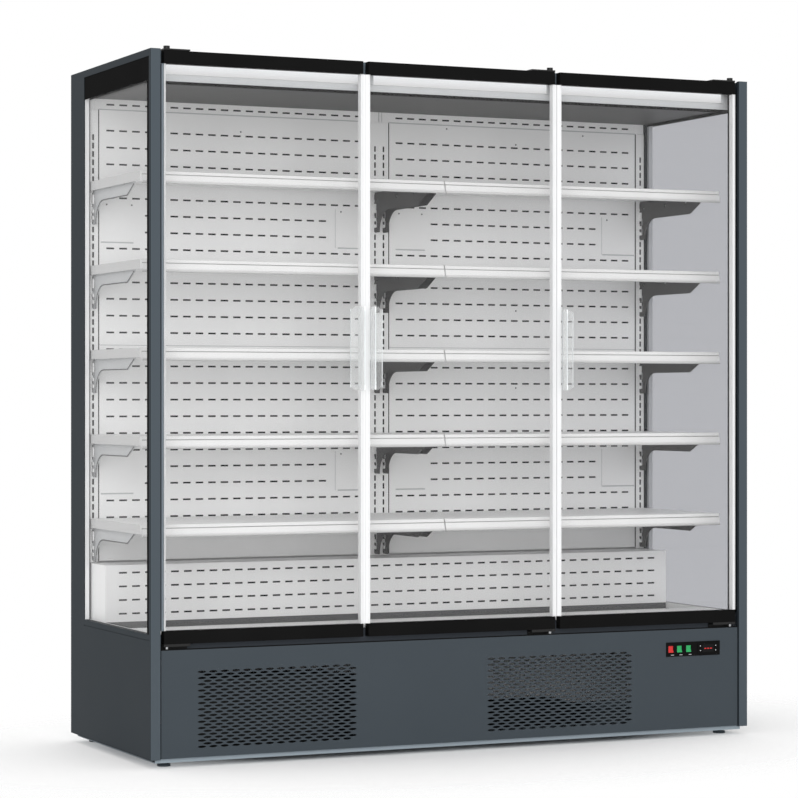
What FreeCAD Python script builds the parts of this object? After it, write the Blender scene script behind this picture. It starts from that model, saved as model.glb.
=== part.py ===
import FreeCAD, Part
import os

import Sketcher

# Plug-in refrigerated multideck with three hinged glass doors, in millimetres.
# The origin is on the floor under the middle of the overall box, +X to the right as seen
# from the doors, +Y to the rear and +Z up. Depths are counted from the front face of the
# side posts, widths from the left outer face and heights from the floor.

SIZES = {
    "overall_width": 1935,
    "cabinet_depth": 710,
    "cabinet_height": 2000,
    "foot_height": 14.5,
    "foot_radius": 19,
    "foot_disc": 6,
    "foot_hexagon": 8.5,
    "foot_from_side": 62,
    "foot_from_front": 65,
    "foot_from_back": 45,
    "sheet_metal": 2,
    "floor_pan_depth": 30,
    "floor_pan_front": 15,
    "floor_pan_from_back": 10,
    "side_base": 25,
    "side_thickness": 18,
    "post_width": 30,
    "post_depth": 15,
    "rear_post": 125,
    "top_rail": 20,
    "deck_height": 373,
    "fold_drop": 17,
    "fold_width": 2,
    "fold_depth": 1.5,
    "edge_round": 3,
    "side_glass_thickness": 16,
    "side_glass_inset": 1,
    "wall_inset": 3,
    "wall_thickness": 62,
    "roof_drop": 2,
    "roof_thickness": 30,
    "frame_face": 36,
    "fascia_drop": 28,
    "jamb_width": 22,
    "jamb_depth": 12,
    "lip_face": 62,
    "lip_drop": 50,
    "lamp_height": 31,
    "lamp_depth": 12,
    "lamp_gap": 22,
    "lamp_end_gap": 35,
    "outlet_depth": 100,
    "outlet_height": 24,
    "outlet_wall": 4,
    "ceiling_drop": 47,
    "duct_depth": 42,
    "header_height": 78,
    "back_panel_lift": 5,
    "back_panel_gap": 2.5,
    "back_slot_length": 25,
    "back_slot_height": 4,
    "back_slot_margin": 39,
    "back_row_from_top": 63,
    "back_row_from_base": 282,
    "upright_proud": 3,
    "end_upright_width": 28.5,
    "centre_upright_width": 61,
    "upright_lift": 1,
    "upright_top_gap": 1,
    "upright_slot_width": 5,
    "upright_slot_height": 15,
    "bracket_column": 33,
    "centre_column_spacing": 29,
    "side_gap": 2,
    "shelf_front": 148,
    "shelf_back_gap": 2,
    "shelf_flange": 27,
    "shelf_joint": 2,
    "shelf_rib_width": 30,
    "shelf_rib_height": 6,
    "shelf_rib_front": 90,
    "shelf_rib_pitch": 150,
    "shelf_rib_end": 36,
    "top_shelf_drop": 249,
    "lowest_shelf_rise": 132,
    "rail_lean": 17,
    "rail_height": 36,
    "rail_lip": 6,
    "rail_sheet": 2,
    "rail_foot": 3,
    "rail_end_gap": 1,
    "bracket_sheet": 3,
    "bracket_tip": 205,
    "bracket_nose": 226,
    "bracket_chin": 286,
    "bracket_arm": 59,
    "bracket_nose_drop": 30,
    "bracket_throat": 66,
    "bracket_heel": 32,
    "bracket_drop": 125,
    "hook_rise": 8,
    "hook_drop": 6,
    "hook_play": 0.5,
    "hook_tongue": 3.5,
    "first_hook_drop": 16,
    "tank_depth": 47,
    "tank_thickness": 26,
    "tank_wall": 28,
    "grille_thickness": 5,
    "grille_front": 40,
    "deck_front": 240,
    "deck_drop": 17,
    "deck_overlap": 15,
    "deck_vent_height": 18,
    "deck_vent_bar": 60,
    "grille_bar": 16,
    "cover_depth": 145,
    "cover_height": 184,
    "cover_inset": 22,
    "cover_row_pitch": 80,
    "cover_first_slot": 52,
    "cover_first_row": 41.5,
    "coil_depth": 78,
    "coil_length": 1500,
    "coil_height": 190,
    "coil_sheet": 3,
    "fan_plate_gap": 23,
    "fan_radius": 62,
    "fan_tip_gap": 4,
    "fan_hub_radius": 20,
    "fan_width": 22,
    "fan_blade_width": 34,
    "fan_blade_sheet": 2,
    "motor_radius": 17,
    "motor_length": 18,
    "motor_bar": 4,
    "motor_bar_overlap": 8,
    "shaft_radius": 4,
    "running_clearance": 0.05,
    "fan_gap": 1,
    "front_recess": 5,
    "front_skin": 3,
    "front_gap": 3,
    "front_base": 27,
    "front_top_gap": 17,
    "front_return": 18,
    "first_grille": 140,
    "second_grille_from_middle": 77.5,
    "vent_width": 470,
    "vent_base": 51,
    "vent_from_top": 60,
    "vent_hole_length": 27,
    "vent_hole_height": 7.5,
    "control_from_right": 97,
    "control_width": 188,
    "control_from_top": 38,
    "control_height": 43,
    "control_proud": 2,
    "control_border": 4,
    "control_clearance": 0.5,
    "control_box_depth": 26,
    "rocker_width": 17,
    "rocker_height": 20,
    "rocker_reach": 5,
    "rocker_dish": 1.8,
    "rocker_taper": 3,
    "rocker_heel": 3.5,
    "rocker_pin_radius": 1.5,
    "rocker_pocket_depth": 11,
    "rocker_pivot": 8.5,
    "rocker_tilt": 8,
    "rocker_clearance": 0.9,
    "rocker_side_clearance": 0.3,
    "first_rocker": 16,
    "second_rocker": 46,
    "third_rocker": 78,
    "controller_left": 109,
    "controller_width": 73,
    "controller_height": 32,
    "controller_proud": 1.5,
    "controller_seat": 2,
    "controller_depth": 12,
    "button_width": 9,
    "button_height": 7,
    "button_travel": 0.8,
    "button_depth": 2,
    "button_proud": 1.2,
    "button_clearance": 0.3,
    "button_margin": 5,
    "door_from_side": 41.5,
    "door_gap": 17,
    "door_recess": 5,
    "door_thickness": 24,
    "pane": 4,
    "door_drop": 28,
    "door_top_gap": 1,
    "door_rail": 37,
    "edge_width": 6,
    "edge_fin": 5,
    "edge_fin_front": 7,
    "edge_fin_thickness": 10,
    "hinge_inset": 11.5,
    "pin_radius": 4,
    "pin_length": 12,
    "pin_bore_depth": 14,
    "hinge_plate_length": 78,
    "hinge_plate": 4,
    "hinge_plate_reach": 60,
    "hinge_overhang": 12,
    "hinge_heel": 16,
    "hinge_boss_radius": 9,
    "hinge_boss_height": 8,
    "hinge_play": 0.1,
    "lower_hinge_plate": 7,
    "handle_base": 1053,
    "handle_height": 240,
    "handle_plate": 36,
    "handle_sheet": 4,
    "handle_chamfer": 14,
    "handle_inset": 6,
    "handle_reach": 25,
    "condenser_left": 165,
    "condenser_width": 420,
    "condenser_front": 70,
    "condenser_depth": 50,
    "condenser_height": 225,
    "shroud_depth": 30,
    "condenser_fan_radius": 95,
    "condenser_fan_hub": 28,
    "compressor_left": 690,
    "compressor_front": 300,
    "compressor_radius": 85,
    "compressor_height": 150,
    "compressor_foot": 12,
    "tray_left": 1120,
    "tray_width": 420,
    "tray_front": 300,
    "tray_depth": 260,
    "tray_height": 60,
}

DOORS = 3
DOOR_GAPS = 2
LEVELS = 5
FAN_BLADES = 4
BACK_SLOTS = 6
BACK_ROWS = 5
SHELF_RIBS = 2
DECK_VENTS = 3
COVER_SLOTS = 10
COVER_ROWS = 2
UPRIGHT_SLOTS = 20
SLOTS_PER_LEVEL = 4
SLOTS_ABOVE = 2
HOOKS = 2
OUTLET_CELLS = 10
GRILLE_OPENINGS = 10
VENT_COLUMNS = 5
VENT_ROWS = 4

document = FreeCAD.newDocument("multideck")
sheet = document.addObject("Spreadsheet::Sheet", "Sizes")
for row, (alias, number) in enumerate(SIZES.items(), start=1):
    sheet.set(f"A{row}", alias)
    sheet.set(f"B{row}", str(number))
    sheet.setAlias(f"B{row}", alias)
document.recompute()


class Length:
    """A number together with the spreadsheet formula that gives it."""

    def __init__(self, value, formula):
        self.value = value
        self.formula = formula

    def __add__(self, other):
        other = as_length(other)
        return Length(self.value + other.value, f"({self.formula} + {other.formula})")

    def __sub__(self, other):
        other = as_length(other)
        return Length(self.value - other.value, f"({self.formula} - {other.formula})")

    def __mul__(self, other):
        other = as_length(other)
        return Length(self.value * other.value, f"({self.formula} * {other.formula})")

    def __truediv__(self, other):
        other = as_length(other)
        return Length(self.value / other.value, f"({self.formula} / {other.formula})")

    def __neg__(self):
        return self * -1

    def __radd__(self, other):
        return as_length(other) + self

    def __rsub__(self, other):
        return as_length(other) - self

    def __rmul__(self, other):
        return as_length(other) * self


def as_length(number):
    if isinstance(number, Length):
        return number
    return Length(float(number), repr(float(number)))


class Sizes:
    """Each size of the sheet as a Length, by its alias."""


size = Sizes()
for alias in SIZES:
    setattr(size, alias, Length(float(SIZES[alias]), f"Sizes.{alias}"))

left = -size.overall_width / 2
front = (size.handle_reach - size.cabinet_depth) / 2
inner_width = size.overall_width - 2 * size.side_thickness
inner_left = left + size.side_thickness
clear_left = size.side_thickness + size.side_gap
clear_width = size.overall_width - 2 * clear_left
middle = size.overall_width / 2
bay_width = (clear_width - size.shelf_joint) / 2
back_panel_left = clear_left + size.end_upright_width + size.back_panel_gap
back_panel_right = middle - size.centre_upright_width / 2 - size.back_panel_gap
back_panel_width = back_panel_right - back_panel_left
all_doors = size.overall_width - 2 * size.door_from_side - DOOR_GAPS * size.door_gap
door_width = all_doors / DOORS
control_left = size.overall_width - size.control_from_right - size.control_width

door_back = size.door_recess + size.door_thickness
pin_depth_line = size.door_recess + size.door_thickness / 2
wall_back = size.cabinet_depth - size.wall_inset
wall_face = wall_back - size.wall_thickness
back_face = wall_face - size.duct_depth
upright_face = back_face - size.upright_proud
shelf_back = upright_face - size.shelf_back_gap
cover_face = upright_face - size.cover_depth

plate_top = size.deck_height - size.deck_drop
tank_floor = size.deck_height - size.tank_depth
tank_base = tank_floor - size.tank_thickness
door_base = size.deck_height - size.door_drop
front_top = door_base - size.front_top_gap
control_base = front_top - size.control_from_top - size.control_height
cover_top = plate_top + size.cover_height
back_panel_base = cover_top + size.back_panel_lift
upright_base = cover_top + size.upright_lift
lowest_shelf = cover_top + size.lowest_shelf_rise
roof_top = size.cabinet_height - size.roof_drop
roof_underside = roof_top - size.roof_thickness
ceiling_height = roof_underside - size.ceiling_drop
header_base = roof_underside - size.header_height
door_top = roof_top - size.door_top_gap
top_shelf = ceiling_height - size.top_shelf_drop
shelf_pitch = (top_shelf - lowest_shelf) / (LEVELS - 1)
hook_pitch = shelf_pitch / SLOTS_PER_LEVEL

nodes = {}


def bind(thing, prop, length):
    thing.setExpression(prop, as_length(length).formula)


def place(thing, x, y, z):
    for axis, length in zip("xyz", (x, y, z)):
        bind(thing, f".Placement.Base.{axis}", length)


def keep(node, thing):
    """Files a finished piece under its node's name."""
    thing.Label = node
    nodes.setdefault(node, []).append(thing)
    return thing


def box(name, size_x, size_y, size_z, x, y, z):
    block = document.addObject("Part::Box", name)
    bind(block, "Length", size_x)
    bind(block, "Width", size_y)
    bind(block, "Height", size_z)
    place(block, x, y, z)
    return block


def cylinder(name, radius, height, x, y, z, along="Z"):
    round_bar = document.addObject("Part::Cylinder", name)
    bind(round_bar, "Radius", radius)
    bind(round_bar, "Height", height)
    if along == "Y":
        round_bar.Placement.Rotation = FreeCAD.Rotation(FreeCAD.Vector(1, 0, 0), -90)
    if along == "X":
        round_bar.Placement.Rotation = FreeCAD.Rotation(FreeCAD.Vector(0, 1, 0), 90)
    place(round_bar, x, y, z)
    return round_bar


def hexagon(name, radius, height, x, y, z):
    """An upright six-sided bar, such as an adjusting nut."""
    bar = document.addObject("Part::Prism", name)
    bar.Polygon = 6
    bind(bar, "Circumradius", radius)
    bind(bar, "Height", height)
    place(bar, x, y, z)
    return bar


def cut(name, base, tool):
    result = document.addObject("Part::Cut", name)
    result.Base = base
    result.Tool = tool
    return result


def fuse(name, pieces):
    result = document.addObject("Part::MultiFuse", name)
    result.Shapes = pieces
    return result


def group(node, pieces):
    """Several separate solids of one kind under one node."""
    result = document.addObject("Part::Compound", node)
    result.Links = pieces
    return keep(node, result)


def plane(body, role):
    return [item for item in body.Origin.OriginFeatures if item.Role == role][0]


def outline(body, name, role, corners):
    """A closed sketch through corners (across, up) or (across, up, radius of the edge after)."""
    sketch = body.newObject("Sketcher::SketchObject", name)
    sketch.AttachmentSupport = [(plane(body, role), "")]
    sketch.MapMode = "FlatFace"
    count = len(corners)
    add_outline(sketch, corners, 0, count)
    return sketch


def add_outline(sketch, corners, first, count):
    points = [FreeCAD.Vector(as_length(c[0]).value, as_length(c[1]).value, 0) for c in corners]
    starts = []
    for index, corner in enumerate(corners):
        start = points[index]
        end = points[(index + 1) % count]
        if len(corner) == 2:
            sketch.addGeometry(Part.LineSegment(start, end), False)
            starts.append((first + index, 1, 2))
        else:
            starts.append(add_arc(sketch, start, end, corner[2], first + index))
    for index in range(count):
        edge, _, end = starts[index]
        follower, begin, _ = starts[(index + 1) % count]
        sketch.addConstraint(Sketcher.Constraint("Coincident", edge, end, follower, begin))
    for index, corner in enumerate(corners):
        edge, begin, _ = starts[index]
        for kind, length in zip(("DistanceX", "DistanceY"), corner):
            length = as_length(length)
            rule = Sketcher.Constraint(kind, -1, 1, edge, begin, length.value)
            number = sketch.addConstraint(rule)
            sketch.setExpression(f"Constraints[{number}]", length.formula)


def add_arc(sketch, start, end, radius, edge):
    """A quarter-like arc that bulges to the left of its travel, and its start and end marks."""
    chord = end - start
    half = chord.Length / 2
    rise = (radius.value**2 - half**2) ** 0.5
    across = FreeCAD.Vector(chord.y, -chord.x, 0).normalize()
    centre = (start + end) / 2 + across * rise
    circle = Part.Circle(centre, FreeCAD.Vector(0, 0, 1), radius.value)
    arc = Part.ArcOfCircle(circle, circle.parameter(end), circle.parameter(start))
    sketch.addGeometry(arc, False)
    number = sketch.addConstraint(Sketcher.Constraint("Radius", edge, radius.value))
    sketch.setExpression(f"Constraints[{number}]", radius.formula)
    return (edge, 2, 1)


def pad(body, name, sketch, length, backwards=False):
    feature = body.newObject("PartDesign::Pad", name)
    feature.Profile = sketch
    bind(feature, "Length", length)
    feature.Reversed = backwards
    return feature


def pocket(body, name, sketch, length, backwards=False):
    feature = body.newObject("PartDesign::Pocket", name)
    feature.Profile = sketch
    bind(feature, "Length", length)
    feature.Reversed = backwards
    return feature


def repeat(body, name, feature, sketch, across, across_count, up, up_count):
    """Repeats a pocket across and up its sketch plane at the given pitches."""
    pattern = body.newObject("PartDesign::LinearPattern", name)
    pattern.Originals = [feature]
    pattern.Direction = (sketch, ["H_Axis"])
    bind(pattern, "Length", across * max(across_count - 1, 1))
    pattern.Occurrences = across_count
    pattern.Direction2 = (sketch, ["V_Axis"])
    bind(pattern, "Length2", up * max(up_count - 1, 1))
    pattern.Occurrences2 = up_count
    body.Tip = pattern
    return pattern


def root(length):
    return Length(length.value**0.5, f"sqrt({length.formula})")


def mirror(name, thing):
    """The same piece reflected in the middle plane of the cabinet."""
    twin = document.addObject("Part::Mirroring", name)
    twin.Source = thing
    twin.Normal = FreeCAD.Vector(1, 0, 0)
    return twin


def rectangle(x, y, width, height):
    return [(x, y), (x + width, y), (x + width, y + height), (x, y + height)]


def section(name, corners, x, length):
    """A bar of constant section along X; corners are (depth, height)."""
    body = document.addObject("PartDesign::Body", name)
    sketch = outline(body, name + "_section", "YZ_Plane", corners)
    pad(body, name + "_pad", sketch, length)
    place(body, x, front, 0)
    return body


def plan(name, corners, height, x, depth, z):
    """An upright bar of constant plan; corners are (width, depth) from x and depth."""
    body = document.addObject("PartDesign::Body", name)
    sketch = outline(body, name + "_plan", "XY_Plane", corners)
    pad(body, name + "_pad", sketch, height)
    place(body, x, front + depth, z)
    return body


def make_base():
    pan_back = size.cabinet_depth - size.floor_pan_from_back
    pan = section(
        "floor_pan",
        [
            (size.floor_pan_front, size.foot_height),
            (pan_back, size.foot_height),
            (pan_back, size.foot_height + size.floor_pan_depth),
            (pan_back - size.sheet_metal, size.foot_height + size.floor_pan_depth),
            (pan_back - size.sheet_metal, size.foot_height + size.sheet_metal),
            (size.floor_pan_front + size.sheet_metal, size.foot_height + size.sheet_metal),
            (size.floor_pan_front + size.sheet_metal, size.foot_height + size.floor_pan_depth),
            (size.floor_pan_front, size.foot_height + size.floor_pan_depth),
        ],
        inner_left,
        inner_width,
    )
    keep("floor_pan", pan)
    feet = []
    for side, x in (("left", size.foot_from_side), ("right", size.overall_width - size.foot_from_side)):
        for end, depth in (
            ("front", size.foot_from_front),
            ("back", size.cabinet_depth - size.foot_from_back),
        ):
            name = f"foot_{side}_{end}"
            disc = cylinder(name + "_disc", size.foot_radius, size.foot_disc, left + x, front + depth, 0)
            neck = hexagon(name + "_neck", size.foot_hexagon, size.foot_height, left + x, front + depth, 0)
            feet.append(fuse(name, [disc, neck]))
    group("levelling_feet", feet)


def make_sides():
    """Side frames: a panel with a tall window behind a boxed front post, and its sealed glass."""
    body = document.addObject("PartDesign::Body", "side_panel_left")
    height = size.cabinet_height - size.side_base
    panel = outline(
        body, "side_outline", "YZ_Plane", rectangle(0, size.side_base, size.cabinet_depth, height)
    )
    pad(body, "side_pad", panel, size.side_thickness)
    post_corners = rectangle(0, size.side_base, size.post_depth, height)
    post = outline(body, "post_outline", "YZ_Plane", post_corners)
    pad(body, "post_pad", post, size.post_width)
    window_depth = size.cabinet_depth - size.post_depth - size.rear_post
    window_height = size.cabinet_height - size.top_rail - size.deck_height
    window_corners = rectangle(size.post_depth, size.deck_height, window_depth, window_height)
    window = outline(body, "window_outline", "YZ_Plane", window_corners)
    pocket(body, "window_opening", window, size.side_thickness, backwards=True)
    fold_base = size.deck_height - size.fold_drop
    fold_corners = rectangle(size.post_depth, fold_base, window_depth, size.fold_width)
    fold = outline(body, "fold_line", "YZ_Plane", fold_corners)
    groove = pocket(body, "fold_groove", fold, size.fold_depth, backwards=True)
    document.recompute()
    rounding = body.newObject("PartDesign::Fillet", "post_rounding")
    rounding.Base = (groove, front_corner_edges(groove.Shape))
    bind(rounding, "Radius", size.edge_round)
    body.Tip = rounding
    place(body, left, front, 0)
    keep("side_panel_left", body)
    keep("side_panel_right", mirror("side_panel_right", body))
    glass = box(
        "side_glass_left",
        size.side_glass_thickness,
        window_depth,
        window_height,
        left + size.side_glass_inset,
        front + size.post_depth,
        size.deck_height,
    )
    keep("side_glass_left", glass)
    keep("side_glass_right", mirror("side_glass_right", glass))


def front_corner_edges(shape):
    """The upright front edges of the post, which are rounded."""
    names = []
    for number, edge in enumerate(shape.Edges, start=1):
        limits = edge.BoundBox
        if limits.ZLength > size.deck_height.value / 2 and limits.YMax < size.front_skin.value / 2:
            names.append(f"Edge{number}")
    return names


def make_shell():
    """Insulated back and roof, and the steel edge strips of the door opening."""
    back_base = size.foot_height + size.floor_pan_depth
    keep(
        "back_wall",
        box(
            "back_wall",
            inner_width,
            wall_back - wall_face,
            roof_underside - back_base,
            inner_left,
            front + wall_face,
            back_base,
        ),
    )
    fascia_back = size.frame_face + size.sheet_metal
    fascia_base = roof_underside - size.fascia_drop
    keep(
        "roof_panel",
        box(
            "roof_panel",
            inner_width,
            wall_back - fascia_back,
            roof_top - roof_underside,
            inner_left,
            front + fascia_back,
            roof_underside,
        ),
    )
    keep(
        "canopy_fascia",
        box(
            "canopy_fascia",
            inner_width,
            size.sheet_metal,
            roof_top - fascia_base,
            inner_left,
            front + size.frame_face,
            fascia_base,
        ),
    )
    sill = box(
        "sill_strip",
        inner_width,
        size.sheet_metal,
        size.deck_height - size.grille_thickness - tank_base,
        inner_left,
        front + size.frame_face,
        tank_base,
    )
    jamb = box(
        "jamb_strip",
        size.jamb_width,
        size.jamb_depth,
        roof_underside - size.deck_height,
        inner_left,
        front + fascia_back,
        size.deck_height,
    )
    group("door_frame", [sill, jamb, mirror("jamb_strip_right", jamb)])


def make_canopy():
    """Lip, lamps, air outlet honeycomb and ceiling under the roof."""
    lip_base = roof_underside - size.lip_drop
    keep(
        "canopy_lip",
        box(
            "canopy_lip",
            clear_width,
            size.sheet_metal,
            size.lip_drop,
            left + clear_left,
            front + size.lip_face,
            lip_base,
        ),
    )
    lamps = []
    last_end = size.overall_width - clear_left - size.lamp_end_gap
    for number in range(DOORS):
        end = last_end - door_width * (DOORS - 1 - number)
        start = clear_left if number == 0 else end - door_width + size.lamp_gap
        lamps.append(
            box(
                f"lamp_{number + 1}",
                end - start,
                size.lamp_depth,
                size.lamp_height,
                left + start,
                front + size.lip_face - size.lamp_depth,
                roof_underside - size.lamp_height,
            )
        )
    group("canopy_lamps", lamps)
    outlet_front = size.lip_face + size.sheet_metal
    body = document.addObject("PartDesign::Body", "air_honeycomb")
    frame = outline(body, "outlet_frame", "XY_Plane", rectangle(0, 0, clear_width, size.outlet_depth))
    pad(body, "outlet_pad", frame, size.outlet_height)
    cell_pitch = clear_width / OUTLET_CELLS
    cell = outline(
        body,
        "outlet_cell",
        "XY_Plane",
        rectangle(
            size.outlet_wall,
            size.outlet_wall,
            cell_pitch - 2 * size.outlet_wall,
            size.outlet_depth - 2 * size.outlet_wall,
        ),
    )
    hole = pocket(body, "outlet_hole", cell, size.outlet_height, backwards=True)
    repeat(body, "outlet_row", hole, cell, cell_pitch, OUTLET_CELLS, cell_pitch, 1)
    place(body, left + clear_left, front + outlet_front, ceiling_height)
    keep("air_honeycomb", body)
    ceiling_front = outlet_front + size.outlet_depth
    top = roof_underside
    low = ceiling_height
    skin = size.sheet_metal
    ceiling = section(
        "ceiling_panel",
        [
            (ceiling_front, low),
            (back_face, low),
            (back_face, top),
            (back_face - skin, top),
            (back_face - skin, low + skin),
            (ceiling_front + skin, low + skin),
            (ceiling_front + skin, top),
            (ceiling_front, top),
        ],
        left + clear_left,
        clear_width,
    )
    keep("ceiling_panel", ceiling)


def channel(width, depth, skin):
    """Plan of a sheet folded back at both sides."""
    return [
        (0, 0),
        (width, 0),
        (width, depth),
        (width - skin, depth),
        (width - skin, skin),
        (skin, skin),
        (skin, depth),
        (0, depth),
    ]


def make_back():
    """Perforated air duct sheets, their header strip and the slotted uprights."""
    skin = size.sheet_metal
    panel_height = header_base - back_panel_base
    panel = plan(
        "back_panel_left",
        channel(back_panel_width, wall_face - back_face, skin),
        panel_height,
        left + back_panel_left,
        back_face,
        back_panel_base,
    )
    slot_pitch = (back_panel_width - 2 * size.back_slot_margin) / (BACK_SLOTS - 1)
    rows_height = panel_height - size.back_row_from_top - size.back_row_from_base
    slot_corners = rectangle(
        size.back_slot_margin - size.back_slot_length / 2,
        size.back_row_from_base - size.back_slot_height / 2,
        size.back_slot_length,
        size.back_slot_height,
    )
    slot = outline(panel, "back_slot", "XZ_Plane", slot_corners)
    hole = pocket(panel, "back_slot_cut", slot, skin)
    row_pitch = rows_height / (BACK_ROWS - 1)
    repeat(panel, "back_slots", hole, slot, slot_pitch, BACK_SLOTS, row_pitch, BACK_ROWS)
    keep("back_panel_left", panel)
    keep("back_panel_right", mirror("back_panel_right", panel))
    header = plan(
        "back_header",
        rectangle(0, 0, clear_width, skin),
        size.header_height,
        left + clear_left,
        back_face,
        header_base,
    )
    keep("back_header", header)
    uprights = []
    end = upright("upright_end", size.end_upright_width, clear_left, size.bracket_column - clear_left, 1)
    uprights.append(end)
    uprights.append(mirror("upright_end_right", end))
    centre_start = middle - size.centre_upright_width / 2
    first_column = (size.centre_upright_width - size.centre_column_spacing) / 2
    uprights.append(upright("upright_centre", size.centre_upright_width, centre_start, first_column, 2))
    group("uprights", uprights)


def upright(name, width, start, column, columns):
    """A folded post with one or two columns of slots for the bracket hooks."""
    body = plan(
        name,
        channel(width, wall_face - upright_face, size.sheet_metal),
        header_base - size.upright_top_gap - upright_base,
        left + start,
        upright_face,
        upright_base,
    )
    slots_below = hook_pitch * (UPRIGHT_SLOTS - SLOTS_ABOVE - 1)
    lowest = top_shelf - size.first_hook_drop - slots_below - upright_base
    corners = rectangle(
        column - size.upright_slot_width / 2,
        lowest - size.upright_slot_height / 2,
        size.upright_slot_width,
        size.upright_slot_height,
    )
    slot = outline(body, name + "_slot", "XZ_Plane", corners)
    hole = pocket(body, name + "_slot_cut", slot, size.sheet_metal)
    spacing = size.centre_column_spacing
    repeat(body, name + "_slots", hole, slot, spacing, columns, hook_pitch, UPRIGHT_SLOTS)
    return body


def shelf_top(level):
    return top_shelf - shelf_pitch * level


def make_shelves():
    """Five levels of folded trays with price rails, on hooked brackets."""
    depth = shelf_back - size.shelf_front
    skin = size.sheet_metal
    rails = []
    left_hand = []
    right_hand = []
    for level in range(LEVELS):
        number = level + 1
        body = document.addObject("PartDesign::Body", f"tray_{number}")
        rim = outline(body, f"tray_{number}_rim", "XY_Plane", rectangle(0, 0, bay_width, depth))
        pad(body, f"tray_{number}_pad", rim, size.shelf_flange)
        hollow = outline(
            body,
            f"tray_{number}_hollow",
            "XY_Plane",
            rectangle(skin, skin, bay_width - 2 * skin, depth - skin),
        )
        pocket(body, f"tray_{number}_cut", hollow, size.shelf_flange - skin, backwards=True)
        rib = outline(
            body,
            f"tray_{number}_rib",
            "XY_Plane",
            rectangle(
                size.shelf_rib_end,
                size.shelf_rib_front,
                bay_width - 2 * size.shelf_rib_end,
                size.shelf_rib_width,
            ),
        )
        rib_base = size.shelf_flange - skin - size.shelf_rib_height
        bind(rib, ".AttachmentOffset.Base.z", rib_base)
        bar = pad(body, f"tray_{number}_rib_pad", rib, size.shelf_rib_height)
        pitch = size.shelf_rib_pitch
        repeat(body, f"tray_{number}_ribs", bar, rib, pitch, 1, pitch, SHELF_RIBS)
        place(body, left + clear_left, front + size.shelf_front, shelf_top(level) - size.shelf_flange)
        group(f"shelf_level_{number}", [body, mirror(f"tray_{number}_right", body)])
        top = shelf_top(level)
        lip_front = size.shelf_front - size.rail_lip
        rail_toe = lip_front - size.rail_lean
        web = size.rail_sheet
        rail = section(
            f"rail_{number}",
            [
                (size.shelf_front, top + web),
                (lip_front, top + web),
                (rail_toe, top - size.rail_height + web),
                (rail_toe + size.rail_foot, top - size.rail_height),
                (lip_front + size.rail_foot, top),
                (size.shelf_front - web, top),
                (size.shelf_front - web, top - size.shelf_flange),
                (size.shelf_front, top - size.shelf_flange),
            ],
            left + clear_left,
            bay_width - size.rail_end_gap,
        )
        rails += [rail, mirror(f"rail_{number}_right", rail)]
        underside = top - skin
        outer = bracket(f"bracket_outer_{number}", size.bracket_column, underside)
        inner = bracket(f"bracket_inner_{number}", middle - size.centre_column_spacing / 2, underside)
        left_hand += [outer, mirror(f"bracket_inner_{number}_right", inner)]
        right_hand += [inner, mirror(f"bracket_outer_{number}_right", outer)]
    group("price_rails", rails)
    group("brackets_left_hand", left_hand)
    group("brackets_right_hand", right_hand)


def bracket(name, column, underside):
    """A flat bracket with a curved throat and hooks that hang in the upright's slots."""
    face = upright_face
    base = underside - size.bracket_drop
    arm = underside - size.bracket_arm
    corners = [(face - size.bracket_heel, base), (face, base)]
    behind = face + size.sheet_metal + size.hook_play
    tip = behind + size.hook_tongue
    for step in reversed(range(HOOKS)):
        centre = underside + size.sheet_metal - size.first_hook_drop - hook_pitch * step
        seat = centre - size.upright_slot_height / 2
        corners += [
            (face, seat),
            (behind, seat),
            (behind, seat - size.hook_drop),
            (tip, seat - size.hook_drop),
            (tip, seat + size.hook_rise),
            (face, seat + size.hook_rise),
        ]
    throat_start = face - size.bracket_heel - size.bracket_throat
    corners += [
        (face, underside),
        (size.bracket_tip, underside),
        (size.bracket_nose, underside - size.bracket_nose_drop),
        (size.bracket_chin, arm),
        (throat_start, arm, size.bracket_throat),
    ]
    return section(name, corners, left + column - size.bracket_sheet / 2, size.bracket_sheet)


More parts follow.
